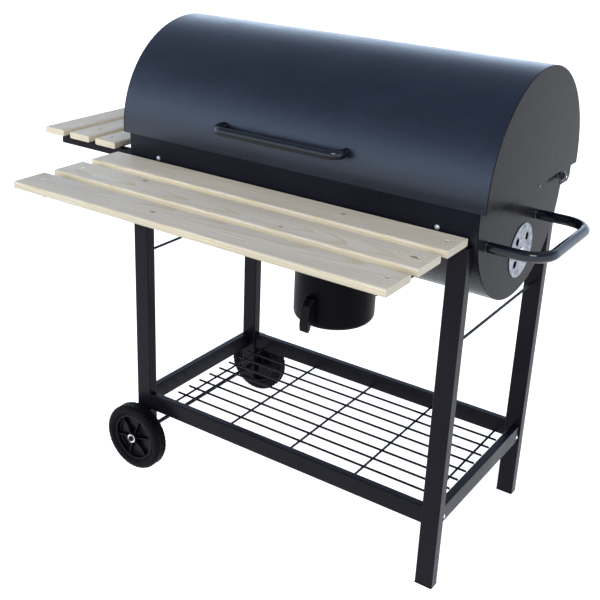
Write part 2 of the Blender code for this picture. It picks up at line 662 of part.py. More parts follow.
def make_lid():
    """The rolled lid sheet, its two end plates with hinge tabs, and the lift handle."""
    pivot = (0.0, HINGE_Y, HINGE_Z)
    front = LID_MIDDLE_Y - LID_RADIUS
    inside = lid_arc(SHEET, LID_BOTTOM + SHEET)
    lip = [(front + LID_LIP, LID_BOTTOM + SHEET), (front + LID_LIP, LID_BOTTOM)]
    outline = lid_arc(0.0, LID_BOTTOM) + list(reversed(inside)) + lip
    end = LID_HALF_LENGTH - SHEET - GAP
    piece("lid_shell", extruded(outline, "X", -end, end), "black_enamel", pivot, smooth=True)
    tab = [(TAB_REAR, LID_BOTTOM), (TAB_REAR, TAB_BOTTOM + TAB_CORNER), (TAB_REAR - TAB_CORNER, TAB_BOTTOM),
           (TAB_FRONT, TAB_BOTTOM), (TAB_FRONT, LID_BOTTOM)]
    for side, sign in (("left", -1), ("right", 1)):
        low, high = sorted((sign * (LID_HALF_LENGTH - SHEET), sign * LID_HALF_LENGTH))
        bm = extruded(lid_arc(0.0, LID_BOTTOM) + tab, "X", low, high)
        piece("lid_end_" + side, bm, "end_enamel", pivot)
    ends_y = LID_MIDDLE_Y - LID_RADIUS + LID_HANDLE_ROOT
    left = LID_HANDLE_X - LID_HANDLE_HALF
    right = LID_HANDLE_X + LID_HANDLE_HALF
    corners = [(left, ends_y, LID_HANDLE_Z), (left, LID_HANDLE_Y, LID_HANDLE_Z),
               (right, LID_HANDLE_Y, LID_HANDLE_Z), (right, ends_y, LID_HANDLE_Z)]
    bent_rod("lid_handle", corners, LID_HANDLE_BEND, LID_HANDLE_RADIUS, "black_handle")


def make_ash_cup():
    """The round cup under the barrel and its grip."""
    centre = (CUP_X, BODY_MIDDLE_Y, 0.0)
    turn_radius = CUP_RADIUS - CUP_FILLET
    turn_height = CUP_BOTTOM + CUP_FILLET
    outside = [(0.0, CUP_BOTTOM)]
    inside = [(0.0, CUP_BOTTOM + SHEET)]
    for k in range(CUP_FILLET_STEPS + 1):
        angle = math.pi / 2 * k / CUP_FILLET_STEPS
        for side, radius in ((outside, CUP_FILLET), (inside, CUP_FILLET - SHEET)):
            r = turn_radius + radius * math.sin(angle)
            z = turn_height - radius * math.cos(angle)
            side.append((r, z))
    profile = outside + [(CUP_RADIUS, CUP_TOP), (CUP_RADIUS - SHEET, CUP_TOP)] + list(reversed(inside))
    piece("ash_cup", turned(profile, "Z", centre), "black_enamel", smooth=True)
    front = BODY_MIDDLE_Y - CUP_RADIUS - GRIP_GAP
    grip = [(front, 0.515), (front - 0.014, 0.515), (front - 0.028, 0.500), (front - 0.034, 0.456),
            (front - 0.032, 0.440), (front - 0.025, 0.436), (front - 0.018, 0.444), (front - 0.014, 0.470),
            (front - 0.009, 0.488), (front, 0.493)]
    bm = extruded(grip, "X", CUP_X - GRIP_HALF_WIDTH, CUP_X + GRIP_HALF_WIDTH)
    piece("ash_cup_handle", bm, "black_plastic")


def make_side_handle():
    """The U-shaped push handle at the end away from the wheels."""
    root = BODY_HALF_LENGTH + GAP
    path = ((root, SIDE_HANDLE_FRONT), (SIDE_HANDLE_REACH, SIDE_HANDLE_FRONT),
            (SIDE_HANDLE_REACH, SIDE_HANDLE_REAR), (root, SIDE_HANDLE_REAR))
    corners = [(x, y, SIDE_HANDLE_Z) for x, y in path]
    bent_rod("side_handle", corners, SIDE_HANDLE_BEND, SIDE_HANDLE_RADIUS, "black_handle")


def slat(name, low, high):
    """One planed board with its long edges eased."""
    made = piece(name, block(low, high), "pine")
    bevel = made.modifiers.new("eased_edges", "BEVEL")
    bevel.width = SLAT_ROUND
    bevel.segments = 2
    return made


def make_front_shelf():
    """Three boards along the front on two angle brackets bolted to the front legs."""
    for k in range(SLATS):
        y = FRONT_SHELF_EDGE + k * (FRONT_SLAT_WIDTH + FRONT_SLAT_GAP)
        slat(f"front_slat_{k + 1}", (FRONT_SHELF_LEFT, y, SLAT_BOTTOM),
             (FRONT_SHELF_RIGHT, y + FRONT_SLAT_WIDTH, SHELF_TOP))
    top = SLAT_BOTTOM - GAP
    left = -FRAME_HALF - GAP
    right = LEG_X - LEG_WIDTH / 2 - GAP
    under = top - BRACKET
    low = top - BRACKET_WEB
    for name, web, out in (("shelf_bracket_left", left, -1), ("shelf_bracket_right", right - BRACKET, 1)):
        tip = web + out * BRACKET_FLANGE
        inner = web + out * BRACKET
        outline = [(web, top), (tip, top), (tip, under), (inner, under), (inner, low), (web, low)]
        bm = extruded(outline, "Y", FRONT_SHELF_EDGE + BRACKET_START, BRACKET_END)
        piece(name, bm, "black_powder")


def make_side_shelf():
    """Three short boards at the wheel end on two arms and the beam that joins their far ends."""
    for k in range(SLATS):
        x = SIDE_SHELF_EDGE + k * SIDE_SLAT_PITCH
        slat(f"side_slat_{k + 1}", (x, SIDE_SLAT_FRONT, SLAT_BOTTOM),
             (x + SIDE_SLAT_WIDTH, SIDE_SLAT_REAR, SHELF_TOP))
    top = SLAT_BOTTOM - GAP
    bottom = top - SIDE_ARM_HEIGHT
    y0 = SIDE_SLAT_FRONT + SIDE_ARM_INSET
    y1 = SIDE_SLAT_REAR - SIDE_ARM_INSET
    x0 = SIDE_SHELF_EDGE + SIDE_ARM_START
    x1 = -BODY_HALF_LENGTH - GAP
    for name, y in (("side_shelf_arm_front", y0), ("side_shelf_arm_rear", y1 - SIDE_ARM_DEPTH)):
        piece(name, rectangular_tube("X", y, bottom, y + SIDE_ARM_DEPTH, top, x0, x1), "black_powder")
    low = y0 + SIDE_ARM_DEPTH + GAP
    high = y1 - SIDE_ARM_DEPTH - GAP
    beam = rectangular_tube("Y", x0, bottom, x0 + SIDE_ARM_DEPTH, top, low, high)
    piece("side_shelf_beam", beam, "black_powder")


for old in list(bpy.data.objects):
    bpy.data.objects.remove(old, do_unlink=True)
grill = bpy.data.objects.new("grill", None)
grill.location = -FOOTPRINT_CENTRE
bpy.context.scene.collection.objects.link(grill)

make_legs()
make_rails()
make_rack()
make_wheels()
make_supports()
make_grates()
make_lid()
make_firebox()
make_ash_cup()
make_side_handle()
make_front_shelf()
make_side_shelf()
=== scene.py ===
"""Looks of the barrel charcoal grill on its cart: fine surfaces, fasteners and finishes.

Every piece is built in the frame's own metres from the CAD nodes' boxes, and rides on its body.
"""
import json
import math

import bmesh
import bpy
from mathutils import Matrix, Vector


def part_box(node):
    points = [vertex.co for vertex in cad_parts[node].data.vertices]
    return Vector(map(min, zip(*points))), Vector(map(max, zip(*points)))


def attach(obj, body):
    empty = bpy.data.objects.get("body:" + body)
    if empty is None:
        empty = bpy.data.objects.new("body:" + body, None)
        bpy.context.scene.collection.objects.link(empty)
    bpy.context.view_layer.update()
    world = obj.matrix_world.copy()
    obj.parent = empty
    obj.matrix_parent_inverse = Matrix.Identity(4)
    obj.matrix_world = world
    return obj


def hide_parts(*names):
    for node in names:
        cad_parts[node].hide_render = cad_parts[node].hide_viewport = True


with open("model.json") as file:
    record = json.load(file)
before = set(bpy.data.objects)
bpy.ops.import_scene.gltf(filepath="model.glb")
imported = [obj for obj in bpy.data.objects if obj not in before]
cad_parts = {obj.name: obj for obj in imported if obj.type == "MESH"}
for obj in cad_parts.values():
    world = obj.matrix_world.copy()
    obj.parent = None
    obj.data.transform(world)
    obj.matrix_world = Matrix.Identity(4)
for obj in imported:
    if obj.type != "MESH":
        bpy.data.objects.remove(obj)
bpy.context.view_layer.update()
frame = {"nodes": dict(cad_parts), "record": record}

# Camera, metres and degrees
CAMERA_FROM_CART = Vector((1.0730, -1.5611, 1.3932))
CAMERA_AZIMUTH = 33.31
CAMERA_ELEVATION = 21.61
CAMERA_ROLL = 2.45
CAMERA_LENS = 59.3
CAMERA_SHIFT_Y = -0.070

# Shapes that the CAD nodes' boxes don't say by themselves
SHEET = 0.0015
LID_ARC_Z = 0.8425
BARREL_ARC_Z = 0.810
LID_EDGE_Z = 0.831
LID_LIP = 0.0215
CUP_FILLET = 0.016
LEG_BOLT_DROP = 0.014
ARC_SEGMENTS = 96
TUBE_CORNER = 0.0022
RACK_CROSS_WIRES = 5
RACK_LONG_WIRES = 9
WIRE_RADIUS = 0.0027
HANDLE_BEND = 0.048
LID_HANDLE_BEND = 0.026
WHEEL_RIBS = 6
RIB_HALF = 0.0011
TREAD_LUGS = 44
SCREW_RADIUS = 0.0042
RACK_CROSS_PITCH = 0.1724
RACK_LONG_PITCH = 0.0410
WELD = Vector((0.0026, 0.0026, 0.0016))
VENT_HOLES = 4
VENT_HOLE_CIRCLE = 0.034
VENT_HOLE_RADIUS = 0.0085
PLATE_HOLE_RADIUS = 0.0033
COLLAR_FLANGE = 0.0135
SLEEVE_RADIUS = 0.0075
END_RIVET_Y = 0.2915
END_RIVET_Z = 0.8155
TAB_REAR = 0.4287
TAB_FRONT = 0.3707

# Radius and height of each fastener's head or nut
RAIL_BOLT = (0.0038, 0.0022)
BRACKET_BOLT = (0.0036, 0.0028)
ROD_NUT = (0.0042, 0.0032)
LEG_BOLT = (0.0055, 0.0032)
LID_HANDLE_NUT = (0.0058, 0.0042)
SIDE_HANDLE_NUT = (0.0065, 0.0050)
SUPPORT_HEAD = (0.0040, 0.0026)
SUPPORT_NUT = (0.0052, 0.0038)
END_RIVET = (0.0024, 0.0016)
HINGE_HEAD = (0.0072, 0.0046)
HINGE_NUT = (0.0058, 0.0036)
SMALL_RIVET = (0.0026, 0.0016)

# Studio: light strengths and colours, angles in degrees, sizes and places in metres
SKY = [(0.0, (1.60, 1.95, 2.45)), (0.22, (1.60, 1.95, 2.45)), (0.44, (0.80, 1.00, 1.35)),
       (0.66, (0.36, 0.45, 0.60)), (1.0, (0.30, 0.37, 0.52))]
KEY_ENERGY = 1.6
KEY_ANGLE = 70
KEY_COLOUR = (1.0, 0.93, 0.83)
KEY_TOWARDS = Vector((-0.45, -1.0, 0.62))
SOFT_ENERGY = 30.0
SOFT_SIZE = 0.9
SOFT_AT = Vector((1.6, -1.4, 3.0))
SOFT_AIM = Vector((0.2, 0.2, 0.75))
FLOOR_SIZE = 60.0
FLOOR_COLOUR = (0.55, 0.54, 0.53, 1.0)
FLOOR_GLOW = 0.95
WHITE = (1.0, 1.0, 1.0, 1.0)

# Pine: the pitch of its growth rings, and its colours
RING_PITCH = 0.0042
PINE_PALE = (0.54, 0.485, 0.405)
PINE_GREY = (0.43, 0.385, 0.325)
PINE_RING = (0.42, 0.33, 0.19)
PINE_FIBRE = (0.40, 0.33, 0.22)
PINE_KNOT = (0.20, 0.105, 0.045)

X, Y, Z = Vector((1, 0, 0)), Vector((0, 1, 0)), Vector((0, 0, 1))

# The point on the floor under the middle of the front legs' front faces
LEG_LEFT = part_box("leg_front_left")[0]
LEG_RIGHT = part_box("leg_front_right")[1]
CART = Vector(((LEG_LEFT.x + LEG_RIGHT.x) / 2, LEG_LEFT.y, 0.0))


def box(node):
    """Lowest and highest corner of a CAD node."""
    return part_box(node)


def middle(node):
    """Middle of a CAD node's box."""
    low, high = box(node)
    return (low + high) / 2


# ---- Camera, light and floor ----

def make_camera():
    """The camera, looking down at the cart from beyond its handle end, with a little roll."""
    data = bpy.data.cameras.new("camera")
    data.sensor_width = 36.0
    data.lens = CAMERA_LENS
    data.shift_y = CAMERA_SHIFT_Y
    azimuth, elevation, roll = map(math.radians, (CAMERA_AZIMUTH, CAMERA_ELEVATION, CAMERA_ROLL))
    level = math.cos(elevation)
    back = Vector((math.sin(azimuth) * level, -math.cos(azimuth) * level, math.sin(elevation)))
    right = Vector((math.cos(azimuth), math.sin(azimuth), 0.0))
    up = back.cross(right)
    across = right * math.cos(roll) + up * math.sin(roll)
    upward = up * math.cos(roll) - right * math.sin(roll)
    camera = bpy.data.objects.new("camera", data)
    turned = Matrix((across, upward, back)).transposed().to_4x4()
    camera.matrix_world = Matrix.Translation(CART + CAMERA_FROM_CART) @ turned
    bpy.context.scene.collection.objects.link(camera)
    bpy.context.scene.camera = camera


def make_light(name, kind, energy, towards):
    """A light whose rays come from the direction towards."""
    data = bpy.data.lights.new(name, kind)
    data.energy = energy
    light = bpy.data.objects.new(name, data)
    light.rotation_euler = towards.to_track_quat("Z", "Y").to_euler()
    bpy.context.scene.collection.objects.link(light)
    return light


def make_studio():
    """A surround with a bright bluish band to mirror, white to the camera, two soft lights, a floor."""
    bpy.context.scene.view_settings.view_transform = "Standard"
    world = bpy.data.worlds.new("studio")
    bpy.context.scene.world = world
    world.use_nodes = True
    tree = Tree(world.node_tree)
    background = world.node_tree.nodes["Background"]
    direction = tree.add("TexCoord").outputs["Generated"]
    height = tree.add("SeparateXYZ", {0: direction}).outputs["Z"]
    seen = tree.add("LightPath").outputs["Is Camera Ray"]
    tree.link(tree.mix(seen, tree.ramp(height, SKY), WHITE), background.inputs["Color"])
    background.inputs["Strength"].default_value = 1.0
    key = make_light("key", "SUN", KEY_ENERGY, KEY_TOWARDS)
    key.data.angle = math.radians(KEY_ANGLE)
    key.data.color = KEY_COLOUR
    key.visible_glossy = False
    soft = make_light("soft_box", "AREA", SOFT_ENERGY, SOFT_AT - SOFT_AIM)
    soft.data.shape = "SQUARE"
    soft.data.size = SOFT_SIZE
    soft.location = CART + SOFT_AT
    make_floor()


def make_floor():
    """A pale floor that also glows, except towards the light it scatters on to the grill."""
    bm = bmesh.new()
    bmesh.ops.create_grid(bm, x_segments=1, y_segments=1, size=FLOOR_SIZE)
    mesh = bpy.data.meshes.new("floor")
    bm.to_mesh(mesh)
    bm.free()
    floor = bpy.data.objects.new("floor", mesh)
    bpy.context.scene.collection.objects.link(floor)
    finish, tree, shader, _ = new_material("pale_floor", 0.0, 0.0)
    shader.inputs["Base Color"].default_value = FLOOR_COLOUR
    shader.inputs["Emission Color"].default_value = WHITE
    scattered = tree.add("LightPath").outputs["Is Diffuse Ray"]
    glow = tree.maths("MULTIPLY_ADD", scattered, -FLOOR_GLOW, FLOOR_GLOW)
    tree.link(glow, shader.inputs["Emission Strength"])
    mesh.materials.append(finish)


# ---- Materials ----

class Tree:
    """Short calls that add nodes to one node tree and link them."""

    def __init__(self, tree):
        self.tree = tree

    def link(self, source, target):
        self.tree.links.new(source, target)

    def add(self, kind, inputs=None, **settings):
        made = self.tree.nodes.new("ShaderNode" + kind)
        for name, value in settings.items():
            setattr(made, name, value)
        for key, value in (inputs or {}).items():
            if isinstance(value, bpy.types.NodeSocket):
                self.link(value, made.inputs[key])
            else:
                made.inputs[key].default_value = value
        return made

    def maths(self, operation, a, b=0.0, c=0.0):
        return self.add("Math", {0: a, 1: b, 2: c}, operation=operation).outputs[0]

    def noise(self, coords, scale, detail=3.0, roughness=0.5):
        inputs = {"Vector": coords, "Scale": scale, "Detail": detail, "Roughness": roughness}
        return self.add("TexNoise", inputs).outputs["Fac"]

    def ramp(self, value, stops):
        made = self.add("ValToRGB", {0: value})
        elements = made.color_ramp.elements
        while len(elements) < len(stops):
            elements.new(0.5)
        for element, (at, colour) in zip(elements, stops):
            element.position = at
            element.color = (*colour, 1.0)
        return made.outputs["Color"]

    def between(self, value, low, high, to_low=0.0, to_high=1.0):
        inputs = {"Value": value, "From Min": low, "From Max": high, "To Min": to_low, "To Max": to_high}
        return self.add("MapRange", inputs, interpolation_type="SMOOTHSTEP").outputs[0]

    def mix(self, factor, a, b, blend="MIX"):
        made = self.add("Mix", data_type="RGBA", blend_type=blend)
        for index, value in ((0, factor), (6, a), (7, b)):
            if isinstance(value, bpy.types.NodeSocket):
                self.link(value, made.inputs[index])
            elif index == 0:
                made.inputs[index].default_value = value
            else:
                made.inputs[index].default_value = (*value[:3], 1.0)
        return made.outputs[2]

    def vector(self, operation, a, b=(0.0, 0.0, 0.0), output=0):
        return self.add("VectorMath", {0: a, 1: b}, operation=operation).outputs[output]

    def stretched(self, coords, scale, turn=(0.0, 0.0, 0.0)):
        return self.add("Mapping", {"Vector": coords, "Rotation": turn, "Scale": scale}).outputs[0]

    def bump(self, height, strength, distance, normal=None):
        inputs = {"Height": height, "Strength": strength, "Distance": distance}
        if normal is not None:
            inputs["Normal"] = normal
        return self.add("Bump", inputs).outputs[0]

    def surface(self, shader, colour, roughness, normal):
        for name, value in (("Base Color", colour), ("Roughness", roughness), ("Normal", normal)):
            self.link(value, shader.inputs[name])


def new_material(name, metallic=0.0, specular=0.5):
    """A Principled material; returns it, its tree, its shader and the piece's own coordinates."""
    made = bpy.data.materials.new(name)
    made.use_nodes = True
    tree = Tree(made.node_tree)
    shader = made.node_tree.nodes["Principled BSDF"]
    shader.inputs["Metallic"].default_value = metallic
    shader.inputs["Specular IOR Level"].default_value = specular
    coords = tree.add("TexCoord").outputs["Object"]
    return made, tree, shader, coords


def paint(name, dark, light, roughness, orange_peel, specular, tint=(1.0, 1.0, 1.0)):
    """Baked-on black paint: fine orange peel, faint clouding of colour and gloss, dust on top."""
    made, tree, shader, coords = new_material(name, 0.0, specular)
    shader.inputs["Specular Tint"].default_value = (*tint, 1.0)
    cloud = tree.noise(coords, 7.0, 5.0, 0.6)
    speck = tree.noise(coords, 380.0, 2.0, 0.5)
    base = tree.mix(tree.between(cloud, 0.3, 0.72), dark, light)
    dusty = tree.maths("MULTIPLY", tree.between(speck, 0.60, 0.78), 0.06)
    streak = tree.noise(tree.stretched(coords, (3.0, 14.0, 14.0)), 5.0, 4.0, 0.65)
    gloss = tree.maths("ADD", tree.between(cloud, 0.25, 0.75, roughness - 0.05, roughness + 0.05),
                       tree.between(streak, 0.3, 0.7, -0.03, 0.03))
    fine = tree.bump(tree.noise(coords, 900.0, 2.0, 0.5), orange_peel, 0.0003)
    wave = tree.bump(tree.noise(coords, 60.0, 2.0, 0.4), 0.12, 0.0006, fine)
    tree.surface(shader, tree.mix(dusty, base, (0.16, 0.16, 0.17)), gloss, wave)
    return made


def galvanised(name, dark, light, roughness):
    """Zinc with crystal spangle of slightly different brightness and gloss."""
    made, tree, shader, coords = new_material(name, 1.0)
    warp = tree.noise(coords, 90.0, 3.0, 0.6)
    spangle = tree.add("TexVoronoi", {"Vector": coords, "Scale": 150.0, "Randomness": 1.0}).outputs["Color"]
    shade = tree.add("SeparateColor", {0: spangle}).outputs[0]
    shade = tree.maths("ADD", tree.maths("MULTIPLY", shade, 0.65), tree.maths("MULTIPLY", warp, 0.35))
    tree.surface(shader, tree.mix(shade, dark, light),
                 tree.between(shade, 0.1, 0.9, roughness + 0.10, roughness - 0.08),
                 tree.bump(tree.noise(coords, 1400.0, 2.0), 0.12, 0.0002))
    return made


def bright_steel(name, colour, roughness):
    """Plated fastener or wire steel, with fine drawn lines and slight tarnish."""
    made, tree, shader, coords = new_material(name, 1.0)
    cloud = tree.noise(coords, 45.0, 4.0, 0.6)
    tarnish = tuple(c * 0.72 for c in colour)
    tree.surface(shader, tree.mix(tree.between(cloud, 0.35, 0.75), colour, tarnish),
                 tree.between(cloud, 0.3, 0.7, roughness - 0.06, roughness + 0.10),
                 tree.bump(tree.noise(coords, 1100.0, 2.0), 0.10, 0.0002))
    return made


def moulded_plastic(name, colour, roughness, grain, specular):
    """Black moulded plastic with a fine spark-eroded texture."""
    made, tree, shader, coords = new_material(name, 0.0, specular)
    cloud = tree.noise(coords, 25.0, 4.0, 0.6)
    lighter = tuple(c * 1.7 + 0.002 for c in colour)
    tree.surface(shader, tree.mix(tree.between(cloud, 0.35, 0.8), colour, lighter),
                 tree.between(cloud, 0.3, 0.7, roughness - 0.07, roughness + 0.07),
                 tree.bump(tree.noise(coords, grain, 2.0), 0.30, 0.0002))
    return made


def knotted(tree, coords, radius, knots, squash):
    """Rings pushed round the knots, and a mask of the knots' cores."""
    mask = None
    for x, y, size in knots:
        offset = tree.vector("SUBTRACT", coords, (x, y, box("front_slat_1")[1].z))
        away = tree.vector("LENGTH", tree.vector("MULTIPLY", offset, squash), output="Value")
        radius = tree.maths("ADD", radius, tree.between(away, size * 0.4, size * 4.5, 0.012, 0.0))
        core = tree.between(away, size * 0.55, size * 1.15, 1.0, 0.0)
        mask = core if mask is None else tree.maths("MAXIMUM", mask, core)
    return radius, mask


def pine(name, along, log_centre, knots, tone=1.0):
    """Planed pine: growth rings about a log's line outside the board, fibres, knots and a painted highlight
    on every face that doesn't face up.

    along is 0 for grain along X and 1 for grain along Y. knots are (x, y, radius) in the frame.
    """
    def toned(colour):
        return tuple(c * tone for c in colour)

    made, tree, shader, coords = new_material(name, 0.0, 0.35)
    turn = (0.0, 0.0, 0.0) if along == 0 else (0.0, 0.0, -math.pi / 2)
    laid = tree.stretched(coords, (1.0, 1.0, 1.0), turn)
    wander = {"Vector": tree.stretched(laid, (2.2, 7.0, 7.0)), "Scale": 1.0, "Detail": 3.0}
    drift = tree.vector("SUBTRACT", tree.add("TexNoise", wander).outputs["Color"], (0.5, 0.5, 0.5))
    bent = tree.vector("ADD", laid, tree.vector("MULTIPLY", drift, (0.0, 0.030, 0.030)))
    parts = tree.add("SeparateXYZ", {0: tree.vector("SUBTRACT", bent, (0.0, *log_centre))})
    height = tree.maths("ADD", parts.outputs["Z"], tree.maths("MULTIPLY", parts.outputs["X"], 0.030))
    across = tree.maths("POWER", parts.outputs["Y"], 2.0)
    radius = tree.maths("SQRT", tree.maths("ADD", across, tree.maths("POWER", height, 2.0)))
    squash = (0.62, 1.0, 0.25) if along == 0 else (1.0, 0.62, 0.25)
    radius, knot_mask = knotted(tree, coords, radius, knots, squash)
    ring = tree.maths("FRACT", tree.maths("MULTIPLY", radius, 1.0 / RING_PITCH))
    late = tree.maths("MULTIPLY", tree.between(ring, 0.55, 0.97), tree.between(ring, 0.97, 1.0, 1.0, 0.0))
    fibre = tree.noise(tree.stretched(laid, (9.0, 420.0, 420.0)), 1.0, 4.0, 0.6)
    blotch = tree.noise(tree.stretched(laid, (2.0, 9.0, 9.0)), 1.0, 3.0, 0.5)
    early = tree.mix(tree.between(blotch, 0.3, 0.7), toned(PINE_PALE), toned(PINE_GREY))
    ringed = tree.mix(tree.maths("MULTIPLY", late, 0.72), early, toned(PINE_RING))
    fibred = tree.mix(tree.between(fibre, 0.35, 0.75, 0.0, 0.45), ringed, toned(PINE_FIBRE))
    # Painted highlight: faces that don't face up get a lighter, warmer colour, standing in for the front
    # light on the boards' edges and ends.
    upward = tree.add("SeparateXYZ", {0: tree.add("NewGeometry").outputs["Normal"]}).outputs["Z"]
    edge = tree.between(upward, 0.35, 0.95, 1.0, 0.0)
    colour = tree.mix(edge, fibred, tree.mix(1.0, fibred, (1.30, 1.26, 1.12), "MULTIPLY"))
    colour = tree.mix(tree.maths("MULTIPLY", knot_mask, 0.85), colour, PINE_KNOT)
    relief = tree.maths("ADD", tree.maths("MULTIPLY", fibre, 0.6), tree.maths("MULTIPLY", late, 0.5))
    tree.surface(shader, colour, tree.between(fibre, 0.3, 0.7, 0.52, 0.70), tree.bump(relief, 0.35, 0.0005))
    return made


# ---- Mesh building ----

def circle(bm, centre, u, v, radius, turns):
    """Vertices round a centre at the given angles."""
    return [bm.verts.new(centre + (u * math.cos(turn) + v * math.sin(turn)) * radius) for turn in turns]


def even_turns(count, start=0.0):
    """Even angles round a full turn."""
    return [start + math.tau * k / count for k in range(count)]


def sides_of(direction):
    """Two unit vectors square to a direction."""
    direction = Vector(direction).normalized()
    helper = Z if abs(direction.z) < 0.9 else X
    first = helper.cross(direction).normalized()
    return first, direction.cross(first)


def bridge(bm, first, second):
    """Quads between two rings of vertices."""
    for i in range(len(first)):
        j = (i + 1) % len(first)
        bm.faces.new((first[i], first[j], second[j], second[i]))


def loft(bm, rings):
    """A closed body through rings of vertices, with a face on each end."""
    for first, second in zip(rings, rings[1:]):
        bridge(bm, first, second)
    bm.faces.new(list(reversed(rings[0])))
    bm.faces.new(rings[-1])


def add_turned(bm, profile, centre, direction, segments=48):
    """A profile of (radius, distance along direction) turned into a closed body.

    Points with radius 0 are poles; a profile without poles closes on itself into a ring.
    """
    u, v = sides_of(direction)
    direction = Vector(direction).normalized()
    rings = []
    for radius, along in profile:
        at = Vector(centre) + direction * along
        if radius == 0.0:
            rings.append([bm.verts.new(at)])
            continue
        rings.append(circle(bm, at, u, v, radius, even_turns(segments)))
    pairs = list(zip(rings, rings[1:]))
    if len(rings[0]) > 1 and len(rings[-1]) > 1:
        pairs.append((rings[-1], rings[0]))
    for first, second in pairs:
        if len(first) == 1:
            for k in range(segments):
                bm.faces.new((first[0], second[k], second[(k + 1) % segments]))
        elif len(second) == 1:
            for k in range(segments):
                bm.faces.new((second[0], first[(k + 1) % segments], first[k]))
        else:
            bridge(bm, first, second)


def add_cylinder(bm, radius, start, end, centre, direction, segments):
    """A plain round bar between two distances along a direction."""
    add_turned(bm, [(0.0, start), (radius, start), (radius, end), (0.0, end)], centre, direction, segments)


def add_rod(bm, points, radius, sides, bulge):
    """A round bar along points, its ends slightly domed."""
    points = [Vector(p) for p in points]
    directions = []
    for i in range(len(points)):
        before = points[max(i - 1, 0)]
        after = points[min(i + 1, len(points) - 1)]
        directions.append((after - before).normalized())
    u, v = sides_of(directions[0])
    rings = []

    def ring(at, size):
        return circle(bm, at, u, v, size, even_turns(sides))

    rings.append(ring(points[0] - directions[0] * radius * bulge, radius * 0.62))
    for i, (at, direction) in enumerate(zip(points, directions)):
        if i:
            swing = directions[i - 1].rotation_difference(direction)
            u, v = swing @ u, swing @ v
        rings.append(ring(at, radius))
    rings.append(ring(points[-1] + directions[-1] * radius * bulge, radius * 0.62))
    loft(bm, rings)


def rounded_path(corners, bend):
    """Straight legs through corners with arcs of the bend radius."""
    steps = 14
    corners = [Vector(c) for c in corners]
    points = [corners[0]]
    for before, at, after in zip(corners, corners[1:], corners[2:]):
        arrive = (at - before).normalized()
        leave = (after - at).normalized()
        turn = arrive.angle(leave)
        back = bend * math.tan(turn / 2)
        inward = (leave - arrive * arrive.dot(leave)).normalized()
        centre = at - arrive * back + inward * bend
        for k in range(steps + 1):
            angle = turn * k / steps
            points.append(centre - inward * bend * math.cos(angle) + arrive * bend * math.sin(angle))
    points.append(corners[-1])
    return points


def add_prism(bm, outline, axis, low, high):
    """The outline, in the two other axes in XYZ order, swept along axis 0, 1 or 2."""
    def at(a, b, along):
        if axis == 0:
            return (along, a, b)
        if axis == 1:
            return (a, along, b)
        return (a, b, along)

    first = [bm.verts.new(at(a, b, low)) for a, b in outline]
    second = [bm.verts.new(at(a, b, high)) for a, b in outline]
    loft(bm, [first, second])


def rounded_rectangle(a0, b0, a1, b1, radius):
    """The outline of a rectangle with round corners."""
    steps = 4
    points = []
    corners = ((a1 - radius, b1 - radius, 0), (a0 + radius, b1 - radius, 90),
               (a0 + radius, b0 + radius, 180), (a1 - radius, b0 + radius, 270))
    for a, b, start in corners:
        for k in range(steps + 1):
            turn = math.radians(start + 90 * k / steps)
            points.append((a + radius * math.cos(turn), b + radius * math.sin(turn)))
    return points


def add_tube(bm, axis, low, high):
    """An open-ended rectangular tube with rolled corners, filling the box from low to high."""
    others = [i for i in range(3) if i != axis]
    a0, b0, a1, b1 = low[others[0]], low[others[1]], high[others[0]], high[others[1]]
    outer = rounded_rectangle(a0, b0, a1, b1, TUBE_CORNER)
    inner = rounded_rectangle(a0 + SHEET, b0 + SHEET, a1 - SHEET, b1 - SHEET, TUBE_CORNER - SHEET)

    def ring(outline, along):
        made = []
        for a, b in outline:
            at = [0.0, 0.0, 0.0]
            at[axis], at[others[0]], at[others[1]] = along, a, b
            made.append(bm.verts.new(at))
        return made

    outer_low, outer_high = ring(outer, low[axis]), ring(outer, high[axis])
    inner_low, inner_high = ring(inner, low[axis]), ring(inner, high[axis])
    bridge(bm, outer_low, outer_high)
    bridge(bm, inner_high, inner_low)
    bridge(bm, outer_high, inner_high)
    bridge(bm, inner_low, outer_low)


def add_block(bm, low, high, radius=0.0):
    """A box, with its edges rounded where a radius is given."""
    shape = Matrix.Translation((high + low) / 2) @ Matrix.Diagonal((*(high - low), 1.0))
    made = bmesh.ops.create_cube(bm, size=1.0, matrix=shape)
    if radius:
        edges = list({e for v in made["verts"] for e in v.link_edges})
        bmesh.ops.bevel(bm, geom=edges, offset=radius, segments=2, affect="EDGES", profile=0.5)


def add_dome_bolt(bm, at, out, radius, height):
    """A round-headed bolt on a thin washer."""
    washer = radius * 1.25
    profile = [(0.0, -0.0004), (washer, -0.0004), (washer, 0.0009), *dome(radius, 0.0010, height, 7)]
    add_turned(bm, profile + [(0.0, 0.0010 + height)], at, out, 28)


def add_hex_bolt(bm, at, out, radius, height):
    """A hexagon head or nut on a washer, with a stub of thread in its middle."""
    at, out = Vector(at), Vector(out).normalized()
    u, v = sides_of(out)
    washer = radius * 1.45
    add_cylinder(bm, washer, -0.0004, 0.0011, at, out, 28)
    rings = []
    for along, share in ((0.0010, 0.97), (0.0014, 1.0), (height * 0.86, 1.0), (height, 0.86)):
        rings.append(circle(bm, at + out * along, u, v, radius * share, even_turns(6, 0.3)))
    loft(bm, rings)
    stub = radius * 0.50
    profile = [(0.0, 0.5), (stub, 0.5), (stub, 1.25), (stub * 0.8, 1.4), (0.0, 1.4)]
    add_turned(bm, [(size, height * along) for size, along in profile], at, out, 16)


def keep_flat(made):
    """Shade by face area, so that wide flat faces stay flat beside small rounded edges."""
    weighted = made.modifiers.new("by_area", "WEIGHTED_NORMAL")
    weighted.keep_sharp = True


